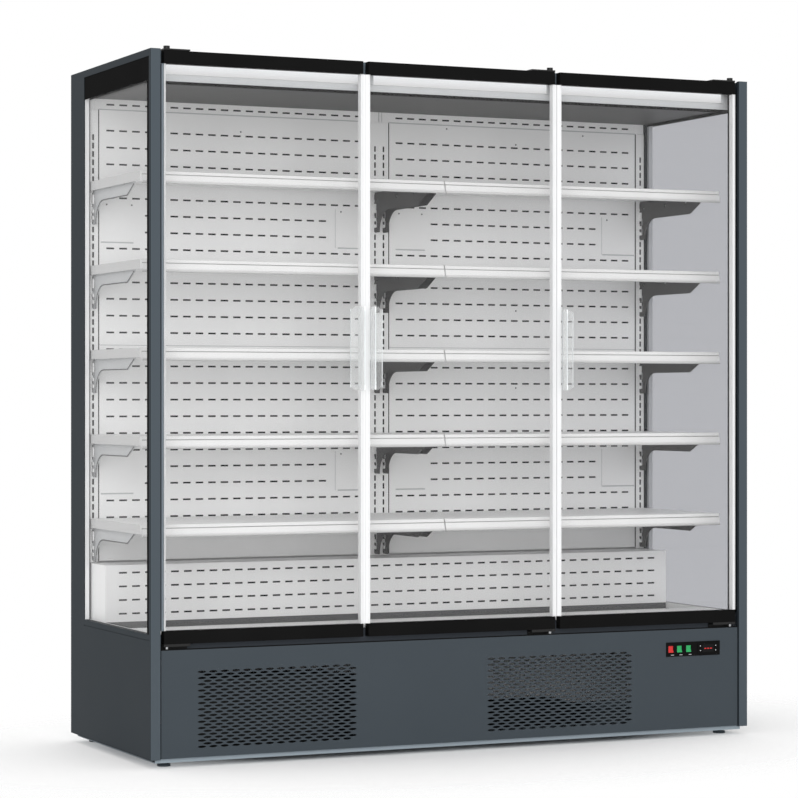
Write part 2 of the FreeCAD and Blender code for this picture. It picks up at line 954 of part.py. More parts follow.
def make_deck():
    """Insulated tank, deck plates, return air grille and the evaporator behind its cover."""
    tank_back = wall_face
    wall_front = size.frame_face + size.sheet_metal
    wall_back = wall_front + size.tank_wall
    wall_top = size.deck_height - size.grille_thickness
    keep(
        "tank",
        section(
            "tank",
            [
                (wall_front, tank_base),
                (tank_back, tank_base),
                (tank_back, tank_floor),
                (wall_back, tank_floor),
                (wall_back, wall_top),
                (wall_front, wall_top),
            ],
            inner_left,
            inner_width,
        ),
    )
    skin = size.sheet_metal
    deck_back = cover_face + size.deck_overlap
    grille_seat = size.deck_height - size.grille_thickness
    wall_inner = size.deck_front + skin
    plate = section(
        "deck_plate",
        [
            (size.deck_front, tank_floor),
            (wall_inner, tank_floor),
            (wall_inner, plate_top - skin),
            (deck_back - skin, plate_top - skin),
            (deck_back - skin, tank_floor),
            (deck_back, tank_floor),
            (deck_back, plate_top),
            (wall_inner, plate_top),
            (wall_inner, grille_seat),
            (size.deck_front, grille_seat),
        ],
        left + clear_left,
        bay_width,
    )
    vent_pitch = (bay_width - size.deck_vent_bar) / DECK_VENTS
    vent_gap = (plate_top - skin - tank_floor - size.deck_vent_height) / 2
    vent_corners = rectangle(
        size.deck_vent_bar,
        tank_floor + vent_gap,
        vent_pitch - size.deck_vent_bar,
        size.deck_vent_height,
    )
    vent = outline(plate, "deck_vent", "XZ_Plane", vent_corners)
    vent_hole = pocket(plate, "deck_vent_cut", vent, deck_back)
    repeat(plate, "deck_vents", vent_hole, vent, vent_pitch, DECK_VENTS, vent_pitch, 1)
    group("deck_plates", [plate, mirror("deck_plate_right", plate)])
    body = document.addObject("PartDesign::Body", "return_air_grille")
    grille_depth = wall_inner - size.grille_front
    frame = outline(body, "grille_frame", "XY_Plane", rectangle(0, 0, inner_width, grille_depth))
    pad(body, "grille_pad", frame, size.grille_thickness)
    pitch = (inner_width - size.grille_bar) / GRILLE_OPENINGS
    opening = outline(
        body,
        "grille_opening",
        "XY_Plane",
        rectangle(
            size.grille_bar,
            size.tank_wall,
            pitch - size.grille_bar,
            grille_depth - size.tank_wall - size.grille_bar,
        ),
    )
    hole = pocket(body, "grille_hole", opening, size.grille_thickness, backwards=True)
    repeat(body, "grille_row", hole, opening, pitch, GRILLE_OPENINGS, pitch, 1)
    place(body, inner_left, front + size.grille_front, size.deck_height - size.grille_thickness)
    keep("return_air_grille", body)
    make_evaporator()


def make_evaporator():
    skin = size.sheet_metal
    cover_width = size.overall_width - 2 * size.cover_inset
    cover = document.addObject("PartDesign::Body", "evaporator_cover")
    face = outline(cover, "cover_outline", "XZ_Plane", rectangle(0, 0, cover_width, size.cover_height))
    pad(cover, "cover_pad", face, size.cover_depth)
    hollow_corners = rectangle(skin, 0, cover_width - 2 * skin, size.cover_height - skin)
    hollow = outline(cover, "cover_hollow", "XZ_Plane", hollow_corners)
    pocket(cover, "cover_cut", hollow, size.cover_depth - skin, backwards=True)
    slot_corners = rectangle(
        size.cover_first_slot - size.back_slot_length / 2,
        size.cover_first_row - size.back_slot_height / 2,
        size.back_slot_length,
        size.back_slot_height,
    )
    slot = outline(cover, "cover_slot", "XZ_Plane", slot_corners)
    hole = pocket(cover, "cover_slot_cut", slot, size.cover_depth, backwards=True)
    pitch = (cover_width - 2 * size.cover_first_slot) / (COVER_SLOTS - 1)
    repeat(cover, "cover_slots", hole, slot, pitch, COVER_SLOTS, size.cover_row_pitch, COVER_ROWS)
    place(cover, left + size.cover_inset, front + upright_face, plate_top)
    keep("evaporator_cover", cover)
    coil_left = (size.overall_width - size.coil_length) / 2
    coil_front = shelf_back - size.coil_depth
    keep("evaporator_coil", coil("evaporator_coil", coil_left, size.coil_length, coil_front,
                                 size.coil_depth, tank_floor, size.coil_height))
    plate_front = cover_face + size.fan_plate_gap
    plate_left = size.cover_inset + skin
    blank = box(
        "evaporator_fan_blank",
        cover_width - 2 * skin,
        skin,
        cover_top - skin - tank_floor,
        left + plate_left,
        front + plate_front,
        tank_floor,
    )
    fan_height = (cover_top + size.deck_height) / 2
    holes = []
    mounts = []
    for number, share in ((1, 1), (2, 3)):
        x = left + size.overall_width * share / 4
        y = front + plate_front
        ring = size.fan_radius + size.fan_tip_gap
        holes.append(cylinder(f"evaporator_hole_{number}", ring, skin, x, y, fan_height, "Y"))
        name = f"evaporator_motor_{number}"
        mounts.append(motor(name, ring, size.fan_hub_radius, x, y, fan_height, -1))
        rotor(
            f"evaporator_fan_{number}",
            size.fan_radius,
            size.fan_hub_radius,
            x,
            y + size.fan_gap,
            fan_height,
        )
    plate = cut("evaporator_fan_plate_cut", blank, fuse("evaporator_holes", holes))
    keep("evaporator_fan_plate", fuse("evaporator_fan_plate", [plate] + mounts))


def coil(name, x, length, depth, thickness, z, height):
    """Finned block between two end plates, with the tube returns standing out at the ends."""
    plate = size.coil_sheet
    fins = box(
        name + "_fins",
        length - 2 * plate,
        thickness - 2 * plate,
        height - 2 * plate,
        left + x + plate,
        front + depth + plate,
        z + plate,
    )
    ends = []
    for side, start in (("left", x), ("right", x + length - plate)):
        ends.append(box(f"{name}_{side}", plate, thickness, height, left + start, front + depth, z))
    return fuse(name, [fins] + ends)


def motor(name, ring, hub, x, y, z, side):
    """Motor can, its bar across the fan opening, and the shaft that carries the fan."""
    bar_depth = size.motor_bar
    bar_y = y - bar_depth if side < 0 else y
    can_y = y - size.motor_length if side < 0 else y
    shaft_y = y if side < 0 else y - size.fan_width
    bar = box(
        name + "_bar",
        2 * (ring + size.motor_bar_overlap),
        bar_depth,
        size.motor_radius,
        x - ring - size.motor_bar_overlap,
        bar_y,
        z - size.motor_radius / 2,
    )
    can = cylinder(name + "_can", size.motor_radius, size.motor_length, x, can_y, z, "Y")
    shaft = cylinder(name + "_shaft", size.shaft_radius, size.fan_width, x, shaft_y, z, "Y")
    return fuse(name, [bar, can, shaft])


def rotor(node, radius, hub, x, y, z):
    """Fan with pitched blades on a bored hub; its body is drawn upright and laid along +Y."""
    body = document.addObject("PartDesign::Body", node)
    hub_disc = circle(body, node + "_hub", hub)
    pad(body, node + "_hub_pad", hub_disc, size.fan_width)
    half = size.fan_blade_width / 2
    sheet_width = size.fan_blade_sheet
    blade = outline(
        body,
        node + "_blade",
        "YZ_Plane",
        [
            (-half, 0),
            (sheet_width - half, 0),
            (half, size.fan_width),
            (half - sheet_width, size.fan_width),
        ],
    )
    blade_pad = pad(body, node + "_blade_pad", blade, root(radius * radius - half * half))
    fan = body.newObject("PartDesign::PolarPattern", node + "_blades")
    fan.Originals = [blade_pad]
    fan.Axis = (hub_disc, ["N_Axis"])
    fan.Angle = 360
    fan.Occurrences = FAN_BLADES
    body.Tip = fan
    bore = circle(body, node + "_bore", size.shaft_radius + size.running_clearance)
    pocket(body, node + "_bore_cut", bore, size.fan_width, backwards=True)
    body.Placement.Rotation = FreeCAD.Rotation(FreeCAD.Vector(1, 0, 0), -90)
    place(body, x, y, z)
    keep(node, body)


def circle(body, name, radius, role="XY_Plane"):
    """A round sketch about the body's origin."""
    sketch = body.newObject("Sketcher::SketchObject", name)
    sketch.AttachmentSupport = [(plane(body, role), "")]
    sketch.MapMode = "FlatFace"
    ring = Part.Circle(FreeCAD.Vector(0, 0, 0), FreeCAD.Vector(0, 0, 1), radius.value)
    sketch.addGeometry(ring, False)
    sketch.addConstraint(Sketcher.Constraint("Coincident", 0, 3, -1, 1))
    number = sketch.addConstraint(Sketcher.Constraint("Radius", 0, radius.value))
    sketch.setExpression(f"Constraints[{number}]", radius.formula)
    return sketch


def make_machinery():
    """Condenser, its fan and shroud, compressor and condensate tray on the floor pan."""
    floor = size.foot_height + size.sheet_metal
    x = size.condenser_left
    depth = size.condenser_front
    keep("condenser_coil", coil("condenser_coil", x, size.condenser_width, depth, size.condenser_depth,
                                floor, size.condenser_height))
    skin = size.sheet_metal
    back = depth + size.condenser_depth
    plate = back + size.shroud_depth
    outer = box(
        "shroud_outer",
        size.condenser_width,
        size.shroud_depth + skin,
        size.condenser_height,
        left + x,
        front + back,
        floor,
    )
    inner = box(
        "shroud_inner",
        size.condenser_width - 2 * skin,
        size.shroud_depth,
        size.condenser_height - 2 * skin,
        left + x + skin,
        front + back,
        floor + skin,
    )
    fan_x = left + x + size.condenser_width / 2
    fan_z = floor + size.condenser_height / 2
    ring = size.condenser_fan_radius + size.fan_tip_gap
    hole = cylinder("shroud_hole", ring, skin, fan_x, front + plate, fan_z, "Y")
    shell = cut("shroud_cut", outer, fuse("shroud_tools", [inner, hole]))
    mount = motor("condenser_motor", ring, size.condenser_fan_hub, fan_x, front + plate + skin, fan_z, 1)
    keep("condenser_shroud", fuse("condenser_shroud", [shell, mount]))
    rotor(
        "condenser_fan",
        size.condenser_fan_radius,
        size.condenser_fan_hub,
        fan_x,
        front + plate + skin - size.fan_gap - size.fan_width,
        fan_z,
    )
    centre_x = left + size.compressor_left + size.compressor_radius
    centre_y = front + size.compressor_front + size.compressor_radius
    base = box(
        "compressor_base",
        2 * size.compressor_radius,
        2 * size.compressor_radius,
        size.compressor_foot,
        left + size.compressor_left,
        front + size.compressor_front,
        floor,
    )
    can = cylinder("compressor_can", size.compressor_radius - size.compressor_foot, size.compressor_height,
                   centre_x, centre_y, floor)
    dome = document.addObject("Part::Cone", "compressor_dome")
    bind(dome, "Radius1", size.compressor_radius - size.compressor_foot)
    bind(dome, "Radius2", size.compressor_radius / 2)
    bind(dome, "Height", size.compressor_radius / 3)
    place(dome, centre_x, centre_y, floor + size.compressor_height)
    keep("compressor", fuse("compressor", [base, can, dome]))
    tray = document.addObject("PartDesign::Body", "condensate_tray")
    rim = outline(tray, "condensate_rim", "XY_Plane", rectangle(0, 0, size.tray_width, size.tray_depth))
    pad(tray, "condensate_pad", rim, size.tray_height, backwards=True)
    hollow_corners = rectangle(skin, skin, size.tray_width - 2 * skin, size.tray_depth - 2 * skin)
    hollow = outline(tray, "condensate_hollow", "XY_Plane", hollow_corners)
    pocket(tray, "condensate_cut", hollow, size.tray_height - skin)
    place(tray, left + size.tray_left, front + size.tray_front, floor + size.tray_height)
    keep("condensate_tray", tray)


def make_front_panel():
    """Folded lower panel with two fields of staggered lozenge holes and the switch opening."""
    skin = size.front_skin
    face = size.front_recess
    start = size.post_width + size.front_gap
    low = size.front_base
    high = front_top
    body = section(
        "front_panel",
        [
            (face, low),
            (size.floor_pan_front, low),
            (size.floor_pan_front, low + skin),
            (face + skin, low + skin),
            (face + skin, high - skin),
            (face + size.front_return, high - skin),
            (face + size.front_return, high),
            (face, high),
        ],
        left + start,
        size.overall_width - 2 * start,
    )
    hole_length = size.vent_hole_length
    hole_height = size.vent_hole_height
    across = (size.vent_width - hole_length) / (VENT_COLUMNS - 1)
    vent_height = high - size.vent_from_top - size.vent_base
    up = (vent_height - hole_height) / (VENT_ROWS - 1)
    depth = face + 2 * skin
    second_grille = middle + size.second_grille_from_middle
    for number, field in ((1, size.first_grille), (2, second_grille)):
        for kind, shift, columns, rows in (
            ("main", 0, VENT_COLUMNS, VENT_ROWS),
            ("between", 0.5, VENT_COLUMNS - 1, VENT_ROWS - 1),
        ):
            x = field - start + across * shift
            z = size.vent_base + up * shift
            lozenge = outline(
                body,
                f"vent_{number}_{kind}",
                "XZ_Plane",
                [
                    (x, z + hole_height / 2),
                    (x + hole_length / 2, z),
                    (x + hole_length, z + hole_height / 2),
                    (x + hole_length / 2, z + hole_height),
                ],
            )
            hole = pocket(body, f"vent_{number}_{kind}_cut", lozenge, depth)
            repeat(body, f"vent_{number}_{kind}_field", hole, lozenge, across, columns, up, rows)
    border = size.control_border - size.control_clearance
    opening = outline(
        body,
        "control_opening",
        "XZ_Plane",
        rectangle(
            control_left - start + border,
            control_base + border,
            size.control_width - 2 * border,
            size.control_height - 2 * border,
        ),
    )
    pocket(body, "control_opening_cut", opening, depth)
    keep("front_panel", body)


def make_controls():
    """Black switch plate with three rockers and a small digital controller with two keys."""
    face = size.front_recess - size.control_proud
    base = control_base
    border = size.control_border
    bezel = box(
        "control_bezel",
        size.control_width,
        size.control_proud,
        size.control_height,
        left + control_left,
        front + face,
        base,
    )
    rear = box(
        "control_rear",
        size.control_width - 2 * border,
        size.control_box_depth,
        size.control_height - 2 * border,
        left + control_left + border,
        front + size.front_recess,
        base + border,
    )
    centre_z = base + size.control_height / 2
    pockets = []
    pins = []
    gap = size.rocker_side_clearance
    for number, colour, offset in (
        (1, "red", size.first_rocker),
        (2, "green_left", size.second_rocker),
        (3, "green_right", size.third_rocker),
    ):
        x = left + control_left + offset
        pockets.append(
            box(
                f"rocker_pocket_{number}",
                size.rocker_width + 2 * gap,
                size.rocker_pocket_depth,
                size.rocker_height + 2 * size.rocker_clearance,
                x - size.rocker_width / 2 - gap,
                front + face,
                centre_z - size.rocker_height / 2 - size.rocker_clearance,
            )
        )
        pins.append(
            cylinder(
                f"rocker_pin_{number}",
                size.rocker_pin_radius,
                size.rocker_width + 2 * gap,
                x - size.rocker_width / 2 - gap,
                front + size.rocker_pivot,
                centre_z,
                "X",
            )
        )
        rocker(f"rocker_{colour}", x, front + size.rocker_pivot, centre_z)
    panel_left = left + control_left + size.controller_left
    seat = size.controller_seat
    pockets.append(
        box(
            "controller_pocket",
            size.controller_width - 2 * seat,
            size.controller_depth,
            size.controller_height - 2 * seat,
            panel_left + seat,
            front + face,
            centre_z - size.controller_height / 2 + seat,
        )
    )
    solid = fuse("control_solid", [bezel, rear])
    housing = cut("control_housing", solid, fuse("control_pockets", pockets))
    keep("control_panel", fuse("control_panel", [housing] + pins))
    plate_front = face - size.controller_proud
    plate = box(
        "controller_plate",
        size.controller_width,
        size.controller_proud,
        size.controller_height,
        panel_left,
        front + plate_front,
        centre_z - size.controller_height / 2,
    )
    core_gap = seat + size.rocker_side_clearance
    core = box(
        "controller_core",
        size.controller_width - 2 * core_gap,
        size.controller_depth - size.rocker_side_clearance,
        size.controller_height - 2 * core_gap,
        panel_left + core_gap,
        front + face,
        centre_z - size.controller_height / 2 + core_gap,
    )
    wells = []
    rise = size.button_height / 2
    clearance = size.button_clearance
    far_side = size.controller_width - size.button_margin - size.button_width
    for side, offset in (("left", size.button_margin), ("right", far_side)):
        x = panel_left + offset
        wells.append(
            box(
                f"key_well_{side}",
                size.button_width + 2 * clearance,
                size.button_depth + size.button_travel + clearance,
                size.button_height + 2 * clearance,
                x - clearance,
                front + plate_front,
                centre_z - rise - clearance,
            )
        )
        key = box(
            f"controller_key_{side}",
            size.button_width,
            size.button_depth + size.button_proud,
            size.button_height,
            x,
            front + plate_front - size.button_proud,
            centre_z - rise,
        )
        keep(f"controller_key_{side}", key)
    solid = fuse("controller_solid", [plate, core])
    keep("controller", cut("controller", solid, fuse("key_wells", wells)))


def rocker(node, x, y, z):
    """A rocker with a dished face, drawn about its pivot and stored pressed at the top."""
    body = document.addObject("PartDesign::Body", node)
    half = size.rocker_height / 2
    reach = size.rocker_reach
    face = outline(
        body,
        node + "_section",
        "YZ_Plane",
        [
            (size.rocker_heel, size.rocker_taper - half),
            (size.rocker_heel, half - size.rocker_taper),
            (-reach, half),
            (size.rocker_dish - reach, 0),
            (-reach, -half),
        ],
    )
    pad(body, node + "_pad", face, size.rocker_width)
    bore_radius = size.rocker_pin_radius + size.running_clearance
    bore = circle(body, node + "_bore", bore_radius, "YZ_Plane")
    pocket(body, node + "_bore_cut", bore, size.rocker_width, backwards=True)
    axis = FreeCAD.Vector(1, 0, 0)
    body.Placement.Rotation = FreeCAD.Rotation(axis, -size.rocker_tilt.value)
    place(body, x - size.rocker_width / 2, y, z)
    keep(node, body)


def make_hinges():
    """Pins on plates: one plate on the roof and one bracket on the sill for each door."""
    plates = []
    plate_top = door_base - size.hinge_play
    for number in range(DOORS):
        axis_x, turn = hinge_line(number)
        x = left + axis_x
        y = front + pin_depth_line
        long_side = size.hinge_plate_length - size.hinge_overhang
        start = x - (size.hinge_overhang if turn > 0 else long_side)
        top = box(
            f"top_plate_{number}",
            size.hinge_plate_length,
            size.hinge_plate_reach - size.front_recess,
            size.hinge_plate,
            start,
            front + size.front_recess,
            roof_top,
        )
        cap = roof_top + size.hinge_plate
        boss = cylinder(f"boss_{number}", size.hinge_boss_radius, size.hinge_boss_height, x, y, cap)
        top_pin_base = door_top - size.pin_length
        top_pin = cylinder(
            f"top_pin_{number}", size.pin_radius, roof_top - top_pin_base, x, y, top_pin_base
        )
        plates.append(fuse(f"top_hinge_{number}", [top, boss, top_pin]))
        shelf = box(
            f"low_plate_{number}",
            size.hinge_plate_length,
            size.frame_face - size.front_recess,
            size.lower_hinge_plate,
            start,
            front + size.front_recess,
            plate_top - size.lower_hinge_plate,
        )
        heel = box(
            f"low_heel_{number}",
            size.hinge_plate_length,
            size.hinge_plate,
            size.hinge_heel,
            start,
            front + size.frame_face - size.hinge_plate,
            plate_top - size.hinge_heel,
        )
        low_pin_height = door_base + size.pin_length - plate_top
        low_pin = cylinder(f"low_pin_{number}", size.pin_radius, low_pin_height, x, y, plate_top)
        plates.append(fuse(f"low_hinge_{number}", [shelf, heel, low_pin]))
    group("hinge_brackets", plates)


def door_left(number):
    return size.door_from_side + (door_width + size.door_gap) * number


def hinge_line(number):
    """Width of the hinge axis, and +1 where the door is hung on its left or -1 on its right."""
    if number == 0:
        return door_left(number) + size.hinge_inset, 1
    return door_left(number) + door_width - size.hinge_inset, -1


def make_door(number):
    """Sealed glass unit with black rails, white edge strips and a clear handle."""
    name = f"door_{number + 1}"
    start = door_left(number)
    face = size.door_recess
    pane = size.pane
    glass_low = door_base + size.door_rail
    glass_high = door_top - size.door_rail
    outer = box(
        name + "_outer_pane",
        door_width,
        pane,
        door_top - door_base,
        left + start,
        front + face,
        door_base,
    )
    inner = box(
        name + "_inner_pane",
        door_width - 2 * size.edge_width,
        pane,
        glass_high - glass_low,
        left + start + size.edge_width,
        front + door_back - pane,
        glass_low,
    )
    group(name + "_glass", [outer, inner])
    axis_x, turn = hinge_line(number)
    rail_depth = size.door_thickness - pane
    rails = []
    bore_radius = size.pin_radius + size.running_clearance
    for end, z, bore_z in (
        ("bottom", door_base, door_base),
        ("top", glass_high, door_top - size.pin_bore_depth),
    ):
        bar = box(
            f"{name}_{end}_bar",
            door_width,
            rail_depth,
            size.door_rail,
            left + start,
            front + face + pane,
            z,
        )
        bore = cylinder(
            f"{name}_{end}_bore",
            bore_radius,
            size.pin_bore_depth,
            left + axis_x,
            front + pin_depth_line,
            bore_z,
        )
        rails.append(cut(f"{name}_{end}_rail", bar, bore))
    group(name + "_rails", rails)
    edge = size.edge_width
    fin = size.edge_fin
    fin_front = size.edge_fin_front
    fin_back = fin_front + size.edge_fin_thickness
    back = size.door_thickness
    left_edge = [
        (0, pane),
        (edge, pane),
        (edge, back),
        (0, back),
        (0, fin_back),
        (-fin, fin_back),
        (-fin, fin_front),
        (0, fin_front),
    ]
    right_edge = [(-across, depth) for across, depth in left_edge]
    strips = []
    for side, corners, x in (("left", left_edge, start), ("right", right_edge, start + door_width)):
        strips.append(
            plan(f"{name}_{side}_strip", corners, glass_high - glass_low, left + x, face, glass_low)
        )
    group(name + "_edges", strips)
    free_edge = start + door_width if turn > 0 else start
    make_handle(name, free_edge, turn, face)


def make_handle(name, free_edge, turn, face):
    """Clear angle: a plate on the glass and a leg that stands out near the free edge."""
    sheet_width = size.handle_sheet
    leg = size.handle_reach + size.door_recess
    inset = size.handle_inset
    profile = [
        (inset, 0),
        (inset, -leg),
        (inset + sheet_width, -leg),
        (inset + sheet_width, -sheet_width),
        (inset + size.handle_plate, -sheet_width),
        (inset + size.handle_plate, 0),
    ]
    corners = [(across * -turn, depth) for across, depth in profile]
    body = plan(name + "_handle", corners, size.handle_height, left + free_edge, face, size.handle_base)
    document.recompute()
    trimmed = body.newObject("PartDesign::Chamfer", name + "_handle_corners")
    trimmed.Base = (body.Group[1], handle_corner_edges(body.Group[1].Shape))
    bind(trimmed, "Size", size.handle_chamfer)
    body.Tip = trimmed
    keep(name + "_handle", body)


def handle_corner_edges(shape):
    """The short end edges at the outer side of the plate and at the tip of the leg."""
    names = []
    widest = max(abs(shape.BoundBox.XMin), abs(shape.BoundBox.XMax))
    tolerance = size.handle_sheet.value / 4
    for number, edge in enumerate(shape.Edges, start=1):
        limits = edge.BoundBox
        if limits.ZLength > tolerance:
            continue
        at_side = min(abs(limits.XMin), abs(limits.XMax)) > widest - tolerance
        on_plate = at_side and limits.YLength > tolerance
        on_leg = limits.YMax < shape.BoundBox.YMin + tolerance
        if on_plate or on_leg:
            names.append(f"Edge{number}")
    return names


def check(thing):
    for state in ("Invalid", "Error"):
        if state in thing.State:
            raise RuntimeError(f"{thing.Name} is {state}")


def write_parts():
    os.makedirs("parts", exist_ok=True)
    for item in document.Objects:
        check(item)
    for node, pieces in nodes.items():
        shape = pieces[0].Shape
        if shape.isNull() or not shape.isValid():
            raise RuntimeError(f"{node} has no valid shape")
        shape.exportStep(f"parts/{node}.step")


make_base()
make_sides()
make_shell()
make_canopy()
make_back()
make_shelves()
make_deck()
make_machinery()
make_front_panel()
make_controls()
make_hinges()
for door in range(DOORS):
    make_door(door)
document.recompute()
write_parts()
print(len(nodes), "parts written")
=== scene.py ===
"""Looks of the glass-door multideck: finishes, perforated sheets, printed glass, lamps and camera.

Sizes are in millimetres: u from the left outer face, v back from the posts' front face and w up
from the floor. A finished mesh is in metres in the frame's own axes.
"""

import math

import bmesh
import bpy
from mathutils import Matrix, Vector


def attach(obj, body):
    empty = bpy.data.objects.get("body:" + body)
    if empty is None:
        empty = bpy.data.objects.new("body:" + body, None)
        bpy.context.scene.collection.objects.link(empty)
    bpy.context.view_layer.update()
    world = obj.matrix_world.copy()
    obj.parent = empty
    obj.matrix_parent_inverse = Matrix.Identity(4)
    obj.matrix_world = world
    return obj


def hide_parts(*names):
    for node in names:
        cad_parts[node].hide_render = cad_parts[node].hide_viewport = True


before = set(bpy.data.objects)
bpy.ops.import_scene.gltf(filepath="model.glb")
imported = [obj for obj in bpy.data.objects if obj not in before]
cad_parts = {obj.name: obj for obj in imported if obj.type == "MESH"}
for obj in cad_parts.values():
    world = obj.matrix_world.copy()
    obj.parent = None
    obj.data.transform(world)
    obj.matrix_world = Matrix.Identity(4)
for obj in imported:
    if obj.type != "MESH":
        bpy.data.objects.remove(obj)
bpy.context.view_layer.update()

WIDTH = 1935.0
HALF = WIDTH / 2
FRONT = 342.5
INSIDE = (20.0, 1915.0)
BAYS = ((INSIDE[0], 966.5), (968.5, INSIDE[1]))
SHELF_PITCH = 250.0
SHELF_TOPS = tuple(1672.0 - SHELF_PITCH * k for k in range(5))
BRACKETS = (33.0, 953.0, 982.0, 1902.0)
DUCT_SHEETS = ((51.0, 934.5), (1000.5, 1884.0))
SHEET = (603.0, 605.0)
POST_FACE = (600.0, 602.0)
SLOT_PITCH, SLOT_LENGTH, SLOT_HEIGHT = 40.5, 25.0, 5.2
DOOR_STARTS = (41.5, 664.5, 1287.5)
DOOR_LOW, DOOR_HIGH = 345.0, 1997.0
PRINTED_BAND = 37.0
PHOTO_SIDE = 798


def point(u, v, w):
    return Vector(((u - HALF) / 1000, (v - FRONT) / 1000, w / 1000))


# ---------------------------------------------------------------- shader wording


class Value:
    """A shader socket that takes part in ordinary sums."""

    def __init__(self, finish, socket):
        self.finish = finish
        self.socket = socket

    def _math(self, operation, *terms):
        return self.finish.node("ShaderNodeMath", {"operation": operation}, *terms)[0]

    def __add__(self, other):
        return self._math("ADD", self, other)

    def __sub__(self, other):
        return self._math("SUBTRACT", self, other)

    def __rsub__(self, other):
        return self._math("SUBTRACT", other, self)

    def __mul__(self, other):
        return self._math("MULTIPLY", self, other)

    def __truediv__(self, other):
        return self._math("DIVIDE", self, other)

    def __gt__(self, other):
        return self._math("GREATER_THAN", self, other)

    def __lt__(self, other):
        return self._math("LESS_THAN", self, other)

    def __pow__(self, other):
        return self._math("POWER", self, other)

    def __mod__(self, other):
        return self._math("FLOORED_MODULO", self, other)

    def __abs__(self):
        return self._math("ABSOLUTE", self)

    def larger(self, other):
        return self._math("MAXIMUM", self, other)

    def smaller(self, other):
        return self._math("MINIMUM", self, other)

    def held(self):
        """Kept between 0 and 1."""
        return self.larger(0.0).smaller(1.0)

    __radd__ = __add__
    __rmul__ = __mul__


class Finish:
    """One material under construction."""

    def __init__(self, name):
        self.material = bpy.data.materials.new(name)
        self.material.use_nodes = True
        self.tree = self.material.node_tree
        self.tree.nodes.clear()

    def node(self, kind, settings, *values, **named):
        """Adds a node: its settings first, then its sockets by place or by name."""
        made = self.tree.nodes.new(kind)
        for key, setting in settings.items():
            setattr(made, key, setting)
        for index, value in enumerate(values):
            self.feed(made.inputs[index], value)
        for key, value in named.items():
            self.feed(made.inputs[key.replace("_", " ")], value)
        return [Value(self, socket) for socket in made.outputs]

    def feed(self, socket, value):
        if isinstance(value, Value):
            self.tree.links.new(value.socket, socket)
        elif value is not None:
            socket.default_value = value

    def position(self):
        """The place in the frame, as a vector and as its three numbers in metres."""
        whole = self.node("ShaderNodeTexCoord", {})[3]
        parts = self.node("ShaderNodeSeparateXYZ", {}, whole)
        return whole, parts[0], parts[1], parts[2]

    def noise(self, where, scale, detail=3.0, roughness=0.55):
        kinds = {"Scale": scale, "Detail": detail, "Roughness": roughness}
        return self.node("ShaderNodeTexNoise", {}, where, **kinds)[0]

    def blend(self, factor, low, high):
        """A colour between two others, which are the mix node's sockets 6 and 7."""
        skipped = [None] * 5
        return self.node("ShaderNodeMix", {"data_type": "RGBA"}, factor, *skipped, low, high)[2]

    def bump(self, height, strength, distance):
        return self.node("ShaderNodeBump", {}, Strength=strength, Distance=distance, Height=height)[0]

    def surface(self, **sockets):
        return self.node("ShaderNodeBsdfPrincipled", {}, **sockets)[0]

    def mix(self, factor, first, second):
        return self.node("ShaderNodeMixShader", {}, factor, first, second)[0]

    def done(self, shader):
        out = self.tree.nodes.new("ShaderNodeOutputMaterial")
        self.tree.links.new(shader.socket, out.inputs[0])
        return self.material


def rgb(red, green, blue):
    return (red, green, blue, 1.0)


def grey(level):
    return rgb(level, level, level)


def powder_coat(name, colour, dusty, rough, peel, shine):
    """Stoved paint: a fine orange peel, faint clouding and a slightly uneven sheen."""
    finish = Finish(name)
    where, _, _, _ = finish.position()
    clouds = finish.noise(where, 3.0, 4.0)
    grain = finish.noise(where, 900.0, 2.0)
    peel_height = finish.noise(where, 420.0, 2.0)
    shade = finish.blend((clouds * 0.7 + grain * 0.3 - 0.35) * 1.6, colour, dusty)
    return finish.done(
        finish.surface(
            Base_Color=shade,
            Roughness=rough + (clouds - 0.5) * 0.12,
            Normal=finish.bump(peel_height, peel, 0.0006),
            Specular_IOR_Level=shine,
        )
    )


def end_paint():
    """Graphite paint of the ends in a lit and a shaded tone: the posts' front faces carry painted
    light, the side faces painted shade.
    """
    finish = Finish("end paint")
    where, _, depth, _ = finish.position()
    clouds = finish.noise(where, 3.0, 4.0)
    # Painted light and shade: one paint, lighter on the posts' front faces and darker on the side
    # faces, by how the light falls.
    lit_post_front = depth < (1.0 - FRONT) / 1000
    side = finish.blend(clouds, rgb(0.020, 0.026, 0.031), rgb(0.024, 0.031, 0.037))
    return finish.done(
        finish.surface(
            Base_Color=finish.blend(lit_post_front, side, rgb(0.062, 0.076, 0.088)),
            Roughness=0.5 + (clouds - 0.5) * 0.12,
            Normal=finish.bump(finish.noise(where, 420.0, 2.0), 0.1, 0.0006),
            IOR=1.12,
        )
    )


def frame_paint():
    """Black jambs beside the doors over a dark grey sill."""
    finish = Finish("frame paint")
    where, _, _, height = finish.position()
    clouds = finish.noise(where, 3.0, 4.0)
    sill_top = 0.3695
    sill = finish.blend(clouds, rgb(0.06, 0.068, 0.08), rgb(0.066, 0.075, 0.088))
    return finish.done(
        finish.surface(
            Base_Color=finish.blend(height > sill_top, sill, grey(0.005)),
            Roughness=0.5 + (clouds - 0.5) * 0.12,
            IOR=1.1,
        )
    )


def brushed_ceiling():
    """Dark brushed sheet with streaks from front to back."""
    finish = Finish("brushed ceiling")
    _, across, depth, _ = finish.position()
    stretched = finish.node("ShaderNodeCombineXYZ", {}, across * 60.0, depth * 1.5)[0]
    streak = finish.noise(stretched, 1.0, 5.0, 0.7)
    return finish.done(
        finish.surface(
            Base_Color=finish.blend(streak * 2.0 - 0.5, grey(0.038), grey(0.095)),
            Roughness=0.42 + streak * 0.15,
            Specular_IOR_Level=0.3,
        )
    )


